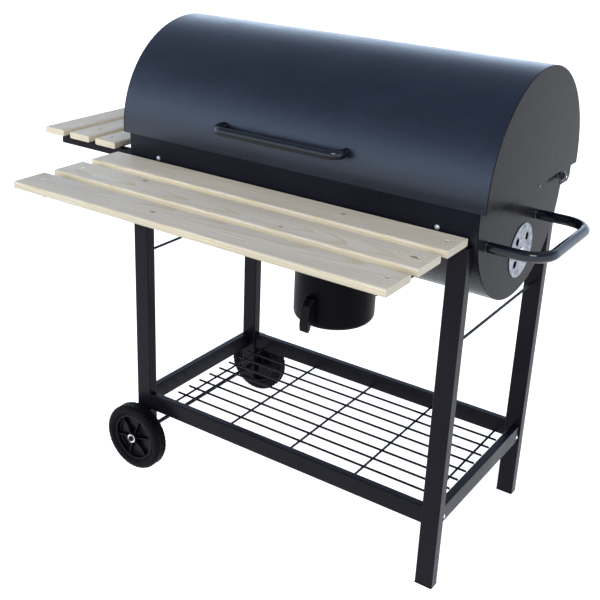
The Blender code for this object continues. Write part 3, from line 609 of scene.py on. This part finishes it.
def finish_piece(name, bm, material, body, stands_for=(), angle=32.0):
    """Turn a bmesh into a shown piece that rides on a body."""
    bmesh.ops.recalc_face_normals(bm, faces=bm.faces)
    mesh = bpy.data.meshes.new(name)
    bm.to_mesh(mesh)
    bm.free()
    mesh.shade_smooth()
    mesh.set_sharp_from_angle(angle=math.radians(angle))
    made = bpy.data.objects.new(name, mesh)
    bpy.context.scene.collection.objects.link(made)
    mesh.materials.append(material)
    keep_flat(made)
    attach(made, body)
    if stands_for:
        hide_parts(*stands_for)
    return made


def soften(bm, width, segments=2, angle=40.0):
    """Round the edges that are sharper than an angle."""
    bmesh.ops.recalc_face_normals(bm, faces=bm.faces)
    limit = math.radians(angle)
    sharp = [e for e in bm.edges if len(e.link_faces) == 2 and e.calc_face_angle(0.0) > limit]
    bmesh.ops.bevel(bm, geom=sharp, offset=width, segments=segments, affect="EDGES", profile=0.5,
                    clamp_overlap=True)


def dome(radius, start, height, steps=6):
    """A quarter circle's profile from a rim to its pole."""
    turns = [math.pi / 2 * k / steps for k in range(steps)]
    return [(radius * math.cos(turn), start + height * math.sin(turn)) for turn in turns]


def body_of(node):
    """The body that a CAD node belongs to."""
    return next(body for body, nodes in frame["record"]["behaviour"]["bodies"].items() if node in nodes)


def refined(node, material, edge, segments=2, angle=35.0):
    """A copy of a CAD node's mesh with its triangles merged, its edges rounded and smooth shading."""
    bm = bmesh.new()
    bm.from_mesh(frame["nodes"][node].data)
    bmesh.ops.remove_doubles(bm, verts=bm.verts, dist=1e-6)
    bmesh.ops.dissolve_limit(bm, angle_limit=math.radians(0.5), verts=bm.verts, edges=bm.edges)
    soften(bm, edge, segments, angle)
    finish_piece(node + "_fine", bm, material, body_of(node), (node,), angle)


# ---- Cart ----

def make_frame():
    """Legs, rails, shelf arms and brackets: tube with rolled corners, and their bolts."""
    for row in ("front", "rear"):
        for side in ("left", "right"):
            node = f"leg_{row}_{side}"
            low, high = box(node)
            bm = bmesh.new()
            add_tube(bm, 2, low, high)
            leg = finish_piece(node + "_tube", bm, FRAME_PAINT, "cart", (node,))
            if row == "front":
                cut(leg, barrel_shape(-0.0003, low.x - 0.01, high.x + 0.01))
        refined("foot_cap_" + row, PLASTIC, 0.0006)
    for node, axis in (("rail_front", 0), ("rail_rear", 0), ("rail_left", 1), ("rail_right", 1),
                       ("side_shelf_arm_front", 0), ("side_shelf_arm_rear", 0), ("side_shelf_beam", 1)):
        bm = bmesh.new()
        add_tube(bm, axis, *box(node))
        finish_piece(node + "_tube", bm, FRAME_PAINT, "cart", (node,))
    for side in ("left", "right"):
        refined("shelf_bracket_" + side, FRAME_PAINT, 0.0005)
        make_tie_rod(side)
    make_frame_bolts()
    make_leg_bolts()


def half_round(low, high, shrink, arc_z, rise, edge_z):
    """A half-round section from its front edge to its rear edge, as (y, z) points."""
    centre = (low.y + high.y) / 2
    half = (high.y - low.y) / 2 - shrink
    turns = [math.pi * k / ARC_SEGMENTS for k in range(ARC_SEGMENTS + 1)]
    arc = [(centre - half * math.cos(turn), arc_z + rise * math.sin(turn)) for turn in turns]
    return [(centre - half, edge_z), *arc, (centre + half, edge_z)]


def barrel_arc(shrink):
    """The lower half-barrel's section."""
    low, high = box("firebox_end_right")
    return half_round(low, high, shrink, BARREL_ARC_Z, low.z + shrink - BARREL_ARC_Z, high.z)


def barrel_shape(shrink, low_x, high_x):
    """A solid of the half-barrel's outline, to cut other pieces with."""
    bm = bmesh.new()
    add_prism(bm, barrel_arc(shrink), 0, low_x, high_x)
    return bm


def make_tie_rod(side):
    """A thin rod between the legs with a nut against each leg."""
    node = "tie_rod_" + side
    low, high = box(node)
    x, z = middle(node).x, middle(node).z
    bm = bmesh.new()
    add_rod(bm, [(x, low.y, z), (x, high.y, z)], (high.x - low.x) / 2, 16, 0.0)
    finish_piece(node + "_bar", bm, WIRE_PAINT, "cart", (node,))
    bm = bmesh.new()
    add_hex_bolt(bm, (x, low.y - 0.0003, z), Y, *ROD_NUT)
    add_hex_bolt(bm, (x, high.y + 0.0003, z), -Y, *ROD_NUT)
    finish_piece(node + "_nuts", bm, WIRE_PAINT, "cart")


def make_frame_bolts():
    """Bolts that hold the rails to the legs, and the shelf brackets to the front legs."""
    rail_low, rail_high = box("rail_right")
    rail_z = middle("rail_right").z
    bm = bmesh.new()
    for y in (rail_low.y + 0.006, rail_high.y - 0.010):
        add_dome_bolt(bm, (rail_high.x, y, rail_z - 0.005), X, *RAIL_BOLT)
        add_dome_bolt(bm, (box("rail_left")[0].x, y, rail_z - 0.005), -X, *RAIL_BOLT)
    front_low, front_high = box("rail_front")
    for x in (front_low.x + 0.012, front_high.x - 0.012):
        add_dome_bolt(bm, (x, box("rail_rear")[1].y, rail_z), Y, *RAIL_BOLT)
    finish_piece("rail_bolts", bm, BOLT_STEEL, "cart")
    bm = bmesh.new()
    for side, inset in (("left", 0.025), ("right", 0.0)):
        low, high = box("shelf_bracket_" + side)
        leg_y = box("leg_front_" + side)[0].y
        for y in (leg_y - 0.012, leg_y + 0.004):
            add_hex_bolt(bm, (low.x + inset, y, high.z - 0.010), -X, *BRACKET_BOLT)
    finish_piece("shelf_bracket_bolts", bm, BOLT_STEEL, "cart")


def make_leg_bolts():
    """Bolts through the upper ends of the rear legs, with a sleeve between each leg and the drum."""
    sleeves = bmesh.new()
    heads = bmesh.new()
    plate_low, plate_high = box("firebox_end_right")
    middle_y = middle("firebox_end_right").y
    half = (plate_high.y - plate_low.y) / 2
    for side in ("left", "right"):
        low, high = box("leg_rear_" + side)
        x = middle("leg_rear_" + side).x
        z = high.z - LEG_BOLT_DROP
        drop = (BARREL_ARC_Z - z) / (BARREL_ARC_Z - plate_low.z)
        wall = middle_y + half * math.sqrt(1 - drop * drop)
        add_cylinder(sleeves, SLEEVE_RADIUS, wall - 0.0010, low.y, (x, 0.0, z), Y, 28)
        add_dome_bolt(heads, (x, high.y, z), Y, *LEG_BOLT)
    finish_piece("rear_leg_sleeves", sleeves, FRAME_PAINT, "cart")
    finish_piece("rear_leg_bolts", heads, DARK_BOLT, "cart")


def make_rack():
    """Round wires: long ones lying on five cross wires, welded where they meet."""
    low, high = box("bottom_rack")
    centre = middle("bottom_rack")
    bm = bmesh.new()
    first_x = low.x + (high.x - low.x - RACK_CROSS_PITCH * (RACK_CROSS_WIRES - 1)) / 2
    cross_xs = [first_x + RACK_CROSS_PITCH * k for k in range(RACK_CROSS_WIRES)]
    under, over = centre.z - 0.0014, centre.z + 0.0014
    for x in cross_xs:
        add_rod(bm, [(x, low.y, under), (x, high.y, under)], WIRE_RADIUS, 12, 0.0)
    for k in range(RACK_LONG_WIRES):
        y = centre.y + RACK_LONG_PITCH * (k - (RACK_LONG_WIRES - 1) / 2)
        add_rod(bm, [(low.x, y, over), (high.x, y, over)], WIRE_RADIUS, 12, 0.4)
        for x in cross_xs:
            at = Vector((x, y, centre.z))
            add_block(bm, at - WELD, at + WELD, 0.0012)
    finish_piece("bottom_rack_wires", bm, WIRE_PAINT, "cart", ("bottom_rack",))


def make_wheel(end, out):
    """Tyre with tread lugs, plastic wheel with ribs, washer and domed cap nut."""
    tyre, rim, nut = "tyre_" + end, "wheel_rim_" + end, "axle_nut_" + end
    centre = middle(tyre)
    low, high = box(tyre)
    rim_low, rim_high = box(rim)
    outer = (high.x - low.x) / 2
    half = (high.y - low.y) / 2
    body = "wheel_" + end
    side = Y * out
    tread = outer - 0.0022
    bead = (rim_high.x - rim_low.x) / 2 + 0.0003
    wall = outer - bead
    profile = [(bead, -0.74 * half), (bead + 0.12 * wall, -0.90 * half), (bead + 0.18 * wall, -0.86 * half),
               (bead + 0.26 * wall, -0.95 * half), (bead + 0.48 * wall, -half),
               (bead + 0.68 * wall, -0.96 * half), (bead + 0.82 * wall, -0.84 * half),
               (tread - 0.0006, -0.66 * half), (tread, -0.50 * half), (tread - 0.0015, -0.46 * half),
               (tread - 0.0015, -0.40 * half), (tread, -0.36 * half), (tread, -0.08 * half),
               (tread - 0.0016, -0.05 * half)]
    profile = profile + [(r, -s) for r, s in reversed(profile)]
    bm = bmesh.new()
    add_turned(bm, profile, centre, Y, 96)
    for k in range(TREAD_LUGS):
        for row, offset in ((-1, 0.0), (1, 0.5)):
            turn = math.tau * (k + offset) / TREAD_LUGS
            add_lug(bm, centre, turn, row, outer, half)
    finish_piece(tyre + "_treaded", bm, TYRE, body, (tyre,))
    make_rim(rim, centre, side, half, body)
    make_hub_nut(nut, centre, side, half)


def add_lug(bm, centre, turn, row, outer, half):
    """One tread block on a shoulder: radial sides, wider at its root, leaning over the shoulder."""
    radial = Vector((math.cos(turn), 0.0, math.sin(turn)))
    around = Vector((-math.sin(turn), 0.0, math.cos(turn)))
    step = math.tau / TREAD_LUGS * outer * 0.30
    sections = ((0.50, outer, 0.9), (0.78, outer - 0.0022, 1.0), (0.99, outer - 0.0085, 0.8))
    rings = []
    for across, radius, width in sections:
        along = around * (step * width)
        top = centre + radial * radius + Y * (row * across * half)
        root = centre + radial * (radius - 0.0050) + Y * (row * across * half * 0.92)
        corners = (top - along, top + along, root + along * 1.25, root - along * 1.25)
        rings.append([bm.verts.new(corner) for corner in corners])
    loft(bm, rings)


def make_rim(node, centre, side, half, body):
    """Dished wheel: bead ring, thin web, hub sleeve and radial ribs on the outer face."""
    low, high = box(node)
    reach = max(abs(low.y - centre.y), abs(high.y - centre.y))
    bm = bmesh.new()
    edge = (high.x - low.x) / 2
    inner = edge - 0.0078
    profile = [(0.0054, half - 0.0008), (0.0118, half - 0.0008), (0.0130, half - 0.0020), (0.0140, 0.0060),
               (0.0158, 0.0034), (inner - 0.0020, 0.0026), (inner, 0.0046), (inner + 0.0012, 0.0118),
               (inner + 0.0026, 0.0134), (edge - 0.0016, 0.0139), (edge - 0.0002, 0.0130), (edge, -0.0130),
               (edge - 0.0016, -0.0139), (inner + 0.0024, -0.0132), (inner + 0.0010, -0.0110),
               (inner - 0.0004, -0.0012), (inner - 0.0020, 0.0004), (0.0160, 0.0000), (0.0135, -0.0030),
               (0.0118, -reach), (0.0054, -reach)]
    add_turned(bm, profile, centre, side, 72)
    for k in range(WHEEL_RIBS):
        turn = math.tau * (k + 0.18) / WHEEL_RIBS
        radial = Vector((math.cos(turn), 0.0, math.sin(turn)))
        around = Vector((-math.sin(turn), 0.0, math.cos(turn)))
        rings = []
        for radius, top in ((0.0120, half - 0.0035), (0.0320, 0.0098), (inner + 0.0008, 0.0108)):
            at = centre + radial * radius
            corners = ((-1.5, 0.0010), (-1.0, top), (1.0, top), (1.5, 0.0010))
            rings.append([bm.verts.new(at + around * (thick * RIB_HALF) + side * high)
                          for thick, high in corners])
        loft(bm, rings)
    finish_piece(node + "_ribbed", bm, PLASTIC, body, (node,))


def make_hub_nut(node, centre, side, half):
    """A wide plated washer and a black domed cap outside it."""
    face = half + 0.0003
    bm = bmesh.new()
    washer = [(0.0053, face), (0.0108, face), (0.0112, face + 0.0006), (0.0108, face + 0.0014),
              (0.0053, face + 0.0014)]
    add_turned(bm, washer, centre, side, 40)
    finish_piece(node + "_washer", bm, BOLT_STEEL, "cart", (node,))
    bm = bmesh.new()
    cap = [(0.0, face + 0.0012), (0.0066, face + 0.0012), (0.0068, face + 0.0034),
           *dome(0.0058, face + 0.0040, 0.0036), (0.0, face + 0.0076)]
    add_turned(bm, cap, centre, side, 32)
    finish_piece(node + "_cap", bm, WIRE_PAINT, "cart", (node,))


def make_wheels():
    """Both wheels, and the axle with a ring against each leg."""
    make_wheel("front", -1)
    make_wheel("rear", 1)
    low, high = box("axle")
    centre = middle("axle")
    bm = bmesh.new()
    radius = (high.x - low.x) / 2
    add_rod(bm, [(centre.x, low.y, centre.z), (centre.x, high.y, centre.z)], radius, 28, 0.1)
    for y in (box("leg_front_left")[1].y + 0.0012, box("leg_rear_left")[0].y - 0.0012):
        add_turned(bm, [(radius, -0.0010), (0.0085, -0.0010), (0.0085, 0.0010), (radius, 0.0010)],
                   (centre.x, y, centre.z), Y, 28)
    finish_piece("axle_bar", bm, WIRE_PAINT, "cart", ("axle",))


# ---- Barrel ----

def lid_arc(low, high, shrink, edge_z):
    """The lid's section."""
    return half_round(low, high, shrink, LID_ARC_Z, high.z - LID_ARC_Z - shrink, edge_z)


def make_lid():
    """Rolled sheet with a folded front lip, end plates with a seam round them, handle."""
    low, high = box("lid_shell")
    outer = lid_arc(low, high, 0.0, LID_EDGE_Z)
    inner = lid_arc(low, high, SHEET, LID_EDGE_Z + SHEET)
    lip = [(low.y + LID_LIP, LID_EDGE_Z + SHEET), (low.y + LID_LIP, LID_EDGE_Z)]
    bm = bmesh.new()
    add_prism(bm, outer + list(reversed(inner)) + lip, 0, low.x, high.x)
    soften(bm, 0.0004)
    finish_piece("lid_shell_rolled", bm, ENAMEL, "lid", ("lid_shell",))
    for side, sign in (("left", -1), ("right", 1)):
        node = "lid_end_" + side
        end_low, end_high = box(node)
        bm = bmesh.new()
        add_prism(bm, outer + tab_outline(end_low, low), 0, end_low.x, end_high.x)
        soften(bm, 0.0005)
        finish_piece(node + "_plate", bm, END_ENAMEL, "lid", (node,))
        make_seam(side, sign, high.x if sign > 0 else low.x, low, high)
    make_lid_handle()


def tab_outline(end_low, shell_low):
    """The hinge tab below the lid's edge, from its rear to its front."""
    rear = shell_low.y + TAB_REAR
    front = shell_low.y + TAB_FRONT
    bottom = end_low.z
    return [(rear, LID_EDGE_Z), (rear, bottom + 0.010), (rear - 0.010, bottom), (front + 0.003, bottom),
            (front, bottom + 0.003), (front, LID_EDGE_Z)]


def make_seam(side, sign, x, low, high):
    """The weld bead inside the lid where the rolled sheet meets an end plate."""
    path = [(x - sign * 0.0010, y, z) for y, z in lid_arc(low, high, SHEET + 0.0008, LID_EDGE_Z + 0.004)]
    bm = bmesh.new()
    add_rod(bm, path, 0.0014, 8, 0.2)
    finish_piece("lid_seam_" + side, bm, ENAMEL, "lid")


def make_lid_handle():
    """Bent tube, and the nuts inside the lid that hold its feet."""
    low, high = box("lid_handle")
    radius = (high.z - low.z) / 2
    z = middle("lid_handle").z
    x0, x1 = low.x + radius, high.x - radius
    y = low.y + radius
    foot = high.y
    bm = bmesh.new()
    corners = [(x0, foot + 0.0022, z), (x0, y, z), (x1, y, z), (x1, foot + 0.0022, z)]
    add_rod(bm, rounded_path(corners, LID_HANDLE_BEND), radius, 32, 0.0)
    finish_piece("lid_handle_tube", bm, HANDLE_PAINT, "lid", ("lid_handle",))
    bm = bmesh.new()
    for x in (x0, x1):
        add_hex_bolt(bm, (x, foot + 0.0052, z), Y, *LID_HANDLE_NUT)
    finish_piece("lid_handle_bolts", bm, BOLT_STEEL, "lid")


def make_side_handle():
    """U-shaped push handle, a narrow ring round each foot and a nut inside the end plate."""
    low, high = box("side_handle")
    radius = (high.z - low.z) / 2
    z = middle("side_handle").z
    y0, y1 = low.y + radius, high.y - radius
    bm = bmesh.new()
    corners = [(low.x, y0, z), (high.x - radius, y0, z), (high.x - radius, y1, z), (low.x, y1, z)]
    add_rod(bm, rounded_path(corners, HANDLE_BEND), radius, 36, 0.0)
    ring = [(radius - 0.001, 0.0), (radius + 0.0008, 0.0), (radius + 0.0005, 0.0009),
            (radius - 0.001, 0.0018)]
    for y in (y0, y1):
        add_turned(bm, ring, (low.x, y, z), X, 40)
    finish_piece("side_handle_tube", bm, HANDLE_PAINT, "cart", ("side_handle",))
    bm = bmesh.new()
    inside = box("firebox_end_right")[0].x
    for y in (y0, y1):
        add_hex_bolt(bm, (inside, y, z), -X, *SIDE_HANDLE_NUT)
    finish_piece("side_handle_nuts", bm, BOLT_STEEL, "cart")


def make_barrel():
    """Lower half-barrel, end plates, collar, dampers, rivets, hinges and the small fasteners."""
    make_trough()
    refined("ash_collar", SHADED_TROUGH_ENAMEL, 0.0003)
    for side, sign in (("left", -1), ("right", 1)):
        make_end_plate(side)
        refined("vent_damper_" + side, ZINC, 0.0004)
        make_vent_rivet(side, sign)
        make_hinge(side, sign)
    for row in ("front", "rear"):
        refined("grate_support_" + row, WIRE_PAINT, 0.0004)
    for side in ("left", "right"):
        node = "support_bolt_" + side
        low, high = box(node)
        centre = middle(node)
        bm = bmesh.new()
        add_dome_bolt(bm, (centre.x, low.y + 0.0030, centre.z), -Y, *SUPPORT_HEAD)
        add_hex_bolt(bm, (centre.x, high.y - 0.0045, centre.z), Y, *SUPPORT_NUT)
        finish_piece(node + "_head", bm, BOLT_STEEL, "cart", (node,))
    end = box("firebox_end_right")[1]
    bm = bmesh.new()
    add_dome_bolt(bm, (end.x, CART.y + END_RIVET_Y, END_RIVET_Z), X, *END_RIVET)
    finish_piece("end_rivet", bm, ZINC, "cart")


def make_trough():
    """The rolled lower sheet, with its hole over the ash cup."""
    low, high = box("firebox_trough")
    outline = barrel_arc(0.0) + list(reversed(barrel_arc(SHEET)))
    bm = bmesh.new()
    add_prism(bm, outline, 0, low.x, high.x)
    soften(bm, 0.0004)
    trough = finish_piece("firebox_trough_rolled", bm, SHADED_TROUGH_ENAMEL, "cart",
                          ("firebox_trough",))
    cup_low, cup_high = box("ash_collar")
    hole = (cup_high.x - cup_low.x) / 2 - COLLAR_FLANGE
    at = middle("ash_collar")
    tool = bmesh.new()
    add_cylinder(tool, hole, low.z - 0.010, low.z + 0.045, (at.x, at.y, 0.0), Z, 72)
    cut(trough, tool)


def make_end_plate(side):
    """A flat end of the lower half-barrel with holes for the vent, its rivet and the hinge bolt."""
    node = "firebox_end_" + side
    low, high = box(node)
    bm = bmesh.new()
    add_prism(bm, barrel_arc(0.0), 0, low.x, high.x)
    soften(bm, 0.0004)
    plate = finish_piece(node + "_plate", bm, END_ENAMEL, "cart", (node,))
    vent = middle("vent_damper_" + side)
    holes = [(middle("hinge_bolt_" + side), PLATE_HOLE_RADIUS), (vent, PLATE_HOLE_RADIUS)]
    for k in range(VENT_HOLES):
        turn = math.radians(45 + 360 * k / VENT_HOLES)
        holes.append((vent + (Y * math.cos(turn) + Z * math.sin(turn)) * VENT_HOLE_CIRCLE, VENT_HOLE_RADIUS))
    tool = bmesh.new()
    for at, radius in holes:
        add_cylinder(tool, radius, low.x - 0.004, high.x + 0.004, (0.0, at.y, at.z), X, 28)
    cut(plate, tool)


def make_vent_rivet(side, sign):
    """Domed rivet in the middle of a vent damper."""
    node = "vent_rivet_" + side
    low, high = box(node)
    centre = middle(node)
    outer = high.x if sign > 0 else low.x
    bm = bmesh.new()
    profile = [(0.0, -0.0095), (0.0052, -0.0095), (0.0055, -0.0075), (0.0030, -0.0070), (0.0030, -0.0030),
               (0.0068, -0.0030), *dome(0.0070, -0.0026, 0.0026), (0.0, 0.0)]
    add_turned(bm, profile, (outer, centre.y, centre.z), X * sign, 32)
    finish_piece(node + "_dome", bm, BOLT_STEEL, "cart", (node,))


def make_hinge(side, sign):
    """Hinge bolt with a hexagon head and lock nut, and the spacer between the plates."""
    node = "hinge_bolt_" + side
    low, high = box(node)
    y, z = middle(node).y, middle(node).z
    plate_low, plate_high = box("lid_end_" + side)
    face = plate_high.x if sign > 0 else plate_low.x
    inner = low.x if sign > 0 else high.x
    bm = bmesh.new()
    add_hex_bolt(bm, (face, y, z), X * sign, *HINGE_HEAD)
    add_hex_bolt(bm, (inner + sign * 0.0045, y, z), X * -sign, *HINGE_NUT)
    add_rod(bm, [(inner, y, z), (face, y, z)], 0.0029, 16, 0.0)
    finish_piece(node + "_hex", bm, DARK_BOLT, "cart", (node,))
    bm = bmesh.new()
    add_dome_bolt(bm, (face + sign * 0.0050, y, z), X * sign, *SMALL_RIVET)
    finish_piece("hinge_bolt_tip_" + side, bm, BOLT_STEEL, "cart")
    refined("hinge_spacer_" + side, ZINC, 0.0004)


def make_ash_cup():
    """Pressed cup with a dished bottom and a rolled rim, and a grip riveted to its front."""
    low, high = box("ash_cup")
    centre = (middle("ash_cup").x, middle("ash_cup").y, 0.0)
    radius = (high.x - low.x) / 2
    bottom, top = low.z, high.z
    turn_radius = radius - CUP_FILLET
    turns = [math.pi / 2 * k / 8 for k in range(9)]
    outer = [(0.0, bottom + 0.0018), (0.052, bottom + 0.0018), (0.057, bottom),
             (turn_radius - 0.002, bottom)]
    outer += [(turn_radius + CUP_FILLET * math.sin(turn), bottom + CUP_FILLET * (1 - math.cos(turn)))
              for turn in turns]
    outer += [(radius, top - 0.012), (radius + 0.0006, top - 0.008), (radius + 0.0006, top - 0.002),
              (radius - 0.0004, top), (radius - SHEET, top - 0.0004), (radius - SHEET, top - 0.010)]
    tight = CUP_FILLET - SHEET
    inner = [(turn_radius + tight * math.sin(turn), bottom + SHEET + tight * (1 - math.cos(turn)))
             for turn in reversed(turns)]
    inner += [(0.057, bottom + SHEET), (0.052, bottom + 0.0033), (0.0, bottom + 0.0033)]
    bm = bmesh.new()
    add_turned(bm, outer + inner, centre, Z, 96)
    finish_piece("ash_cup_pressed", bm, SHADED_CUP_ENAMEL, "ash_cup", ("ash_cup",))
    refined("ash_cup_handle", PLASTIC, 0.0028, 4, 20.0)
    low, high = box("ash_cup_handle")
    bm = bmesh.new()
    for z in (high.z - 0.006, high.z - 0.017):
        add_dome_bolt(bm, (centre[0], high.y - 0.004, z), -Y, *SMALL_RIVET)
    finish_piece("ash_cup_rivets", bm, BOLT_STEEL, "ash_cup")


def make_grate(node, rods, radius, material):
    """Round rods along Y welded over three rods along X."""
    low, high = box(node)
    z = middle(node).z
    over, under = z + radius * 0.25, z - radius * 0.25
    bm = bmesh.new()
    for k in range(rods):
        x = low.x + radius + (high.x - low.x - 2 * radius) * k / (rods - 1)
        add_rod(bm, [(x, low.y + 0.0005, over), (x, high.y - 0.0005, over)], radius, 10, 0.3)
    for k in range(3):
        y = low.y + radius + (high.y - low.y - 2 * radius) * k / 2
        add_rod(bm, [(low.x, y, under), (high.x, y, under)], radius, 10, 0.3)
    finish_piece(node + "_rods", bm, material, body_of(node), (node,))


# ---- Wooden shelves ----

def make_board(node, material, places, grain_axis, screws):
    """A planed board with eased edges, drilled at its places, and a countersunk screw in each."""
    low, high = box(node)
    bm = bmesh.new()
    add_block(bm, low, high)
    long_edges = []
    for e in bm.edges:
        along = (e.verts[0].co - e.verts[1].co).normalized()
        if abs(along[grain_axis]) > 0.9:
            long_edges.append(e)
    bmesh.ops.bevel(bm, geom=long_edges, offset=0.0042, segments=5, affect="EDGES", profile=0.5)
    ends = [e for e in bm.edges if e.calc_face_angle(0.0) > math.radians(60)]
    bmesh.ops.bevel(bm, geom=ends, offset=0.0008, segments=2, affect="EDGES", profile=0.5)
    board = finish_piece(node + "_board", bm, material, "cart", (node,))
    drill = bmesh.new()
    cone = [(0.0, -0.0040), (0.0016, -0.0040), (0.0050, 0.0002), (0.0056, 0.0020), (0.0, 0.0020)]
    for x, y in places:
        add_turned(drill, cone, (x, y, high.z), Z, 20)
        add_screw(screws, (x, y, high.z))
    cut(board, drill)


def cut(piece, bm):
    """Take a tool's shape out of a piece and keep the result as the piece's mesh."""
    bmesh.ops.recalc_face_normals(bm, faces=bm.faces)
    mesh = bpy.data.meshes.new("tool")
    bm.to_mesh(mesh)
    bm.free()
    tool = bpy.data.objects.new("tool", mesh)
    bpy.context.scene.collection.objects.link(tool)
    piece.modifiers.clear()
    boolean = piece.modifiers.new("cut", "BOOLEAN")
    boolean.operation = "DIFFERENCE"
    boolean.object = tool
    shown = piece.evaluated_get(bpy.context.evaluated_depsgraph_get())
    left_over = bpy.data.meshes.new_from_object(shown)
    piece.modifiers.clear()
    piece.data = left_over
    keep_flat(piece)
    bpy.data.objects.remove(tool, do_unlink=True)


def add_screw(bm, at):
    """Countersunk head with a cross recess, just below the board's face."""
    top = Vector(at) - Z * 0.0008
    arm, thick, deep = SCREW_RADIUS * 0.55, SCREW_RADIUS * 0.17, 0.0014
    rim = circle(bm, top, X, Y, SCREW_RADIUS, even_turns(24))
    tip = bm.verts.new(top - Z * 0.0032)
    for k in range(24):
        bm.faces.new((rim[k], tip, rim[(k + 1) % 24]))
    plus = [(arm, -thick), (arm, thick), (thick, thick), (thick, arm), (-thick, arm), (-thick, thick),
            (-arm, thick), (-arm, -thick), (-thick, -thick), (-thick, -arm), (thick, -arm), (thick, -thick)]
    mouth = [bm.verts.new(top + Vector((x, y, 0.0))) for x, y in plus]
    base = [bm.verts.new(top + Vector((x * 0.7, y * 0.7, -deep))) for x, y in plus]
    bridge(bm, mouth, base)
    bm.faces.new(base)
    edges = [bm.edges.get((rim[k], rim[(k + 1) % 24])) for k in range(24)]
    edges += [bm.edges.get((mouth[k], mouth[(k + 1) % 12])) for k in range(12)]
    bmesh.ops.triangle_fill(bm, edges=edges, use_beauty=True, normal=Z)


def from_cart(marks):
    """Knots whose places are given from the cart's own origin, in the frame."""
    return [(CART.x + x, CART.y + y, size) for x, y, size in marks]


def make_shelves():
    """Six boards, each cut from its own place in a log, and their screws."""
    screws = bmesh.new()
    bracket_xs = [middle("shelf_bracket_" + side).x for side in ("left", "right")]
    knots = {1: [(-0.12, -0.254, 0.0045)],
             2: [(-0.262, -0.119, 0.0050), (0.373, -0.140, 0.0055), (0.11, -0.164, 0.0035)],
             3: [(0.16, -0.028, 0.0040)]}
    logs = {1: (-0.33, 0.70), 2: (-0.26, 0.725), 3: (-0.10, 0.69)}
    for k in (1, 2, 3):
        y = middle(f"front_slat_{k}").y + 0.004
        wood = pine(f"pine_front_{k}", 0, logs[k], from_cart(knots[k]), 1.0 + 0.03 * (k - 2))
        make_board(f"front_slat_{k}", wood, [(x, y) for x in bracket_xs], 0, screws)
    arm_ys = [middle("side_shelf_arm_" + row).y for row in ("front", "rear")]
    side_knots = {1: [(-0.717, 0.308, 0.0035)], 2: [(-0.627, 0.118, 0.0040)], 3: [(-0.552, 0.083, 0.0035)]}
    for k in (1, 2, 3):
        x = middle(f"side_slat_{k}").x
        log = (-x + 0.03 * (k - 2), 0.715 - 0.01 * k)
        wood = pine(f"pine_side_{k}", 1, log, from_cart(side_knots[k]), 1.02)
        make_board(f"side_slat_{k}", wood, [(x, y) for y in arm_ys], 1, screws)
    finish_piece("slat_screws", screws, BOLT_STEEL, "cart")


# ---- Put together ----

make_camera()
make_studio()
COOL = (0.82, 0.90, 1.0)
ENAMEL = paint("black_enamel", (0.0028, 0.0034, 0.0080), (0.0042, 0.0050, 0.0105), 0.28, 0.15, 0.56, COOL)
END_ENAMEL = paint("end_enamel", (0.0095, 0.0085, 0.0100), (0.0145, 0.0125, 0.0140), 0.24, 0.12, 0.50)
END_ENAMEL.node_tree.nodes["Principled BSDF"].inputs["IOR"].default_value = 1.11
# Painted shade: a darker, duller copy of the lid's enamel for the lower barrel and the ash collar, standing
# in for the shade under the lid's edge.
SHADED_TROUGH_ENAMEL = paint("trough_enamel_painted_shade", (0.0022, 0.0024, 0.0050), (0.0034, 0.0036, 0.0068), 0.32, 0.15,
                      0.20, COOL)
# Painted shade: the ash cup gets a near-black, almost unreflective copy of the enamel, standing in for the
# shade under the barrel.
SHADED_CUP_ENAMEL = paint("cup_enamel_painted_shade", (0.0010, 0.0009, 0.0013), (0.0018, 0.0016, 0.0021), 0.42, 0.30, 0.05)
FRAME_PAINT = paint("frame_paint", (0.0036, 0.0026, 0.0050), (0.0052, 0.0040, 0.0068), 0.30, 0.20, 0.10)
HANDLE_PAINT = paint("handle_paint", (0.003, 0.004, 0.006), (0.005, 0.006, 0.009), 0.12, 0.06, 0.40)
WIRE_PAINT = paint("black_wire", (0.003, 0.0026, 0.003), (0.0048, 0.0042, 0.0048), 0.40, 0.30, 0.15)
PLASTIC = moulded_plastic("black_plastic", (0.0010, 0.0008, 0.0012), 0.30, 1500.0, 0.10)
TYRE = moulded_plastic("tyre_rubber", (0.0024, 0.0021, 0.0025), 0.55, 900.0, 0.06)
ZINC = galvanised("zinc", (0.13, 0.14, 0.16), (0.34, 0.36, 0.39), 0.42)
BOLT_STEEL = bright_steel("bolt_steel", (0.72, 0.72, 0.73), 0.26)
DARK_BOLT = bright_steel("dark_bolt", (0.10, 0.10, 0.11), 0.24)
GRATE_STEEL = bright_steel("plated_steel", (0.66, 0.66, 0.67), 0.22)

make_frame()
make_rack()
make_wheels()
make_barrel()
make_lid()
make_side_handle()
make_ash_cup()
make_grate("cooking_grate_left", 20, 0.0020, GRATE_STEEL)
make_grate("cooking_grate_right", 20, 0.0020, GRATE_STEEL)
make_grate("charcoal_grate", 24, 0.0025, WIRE_PAINT)
make_shelves()
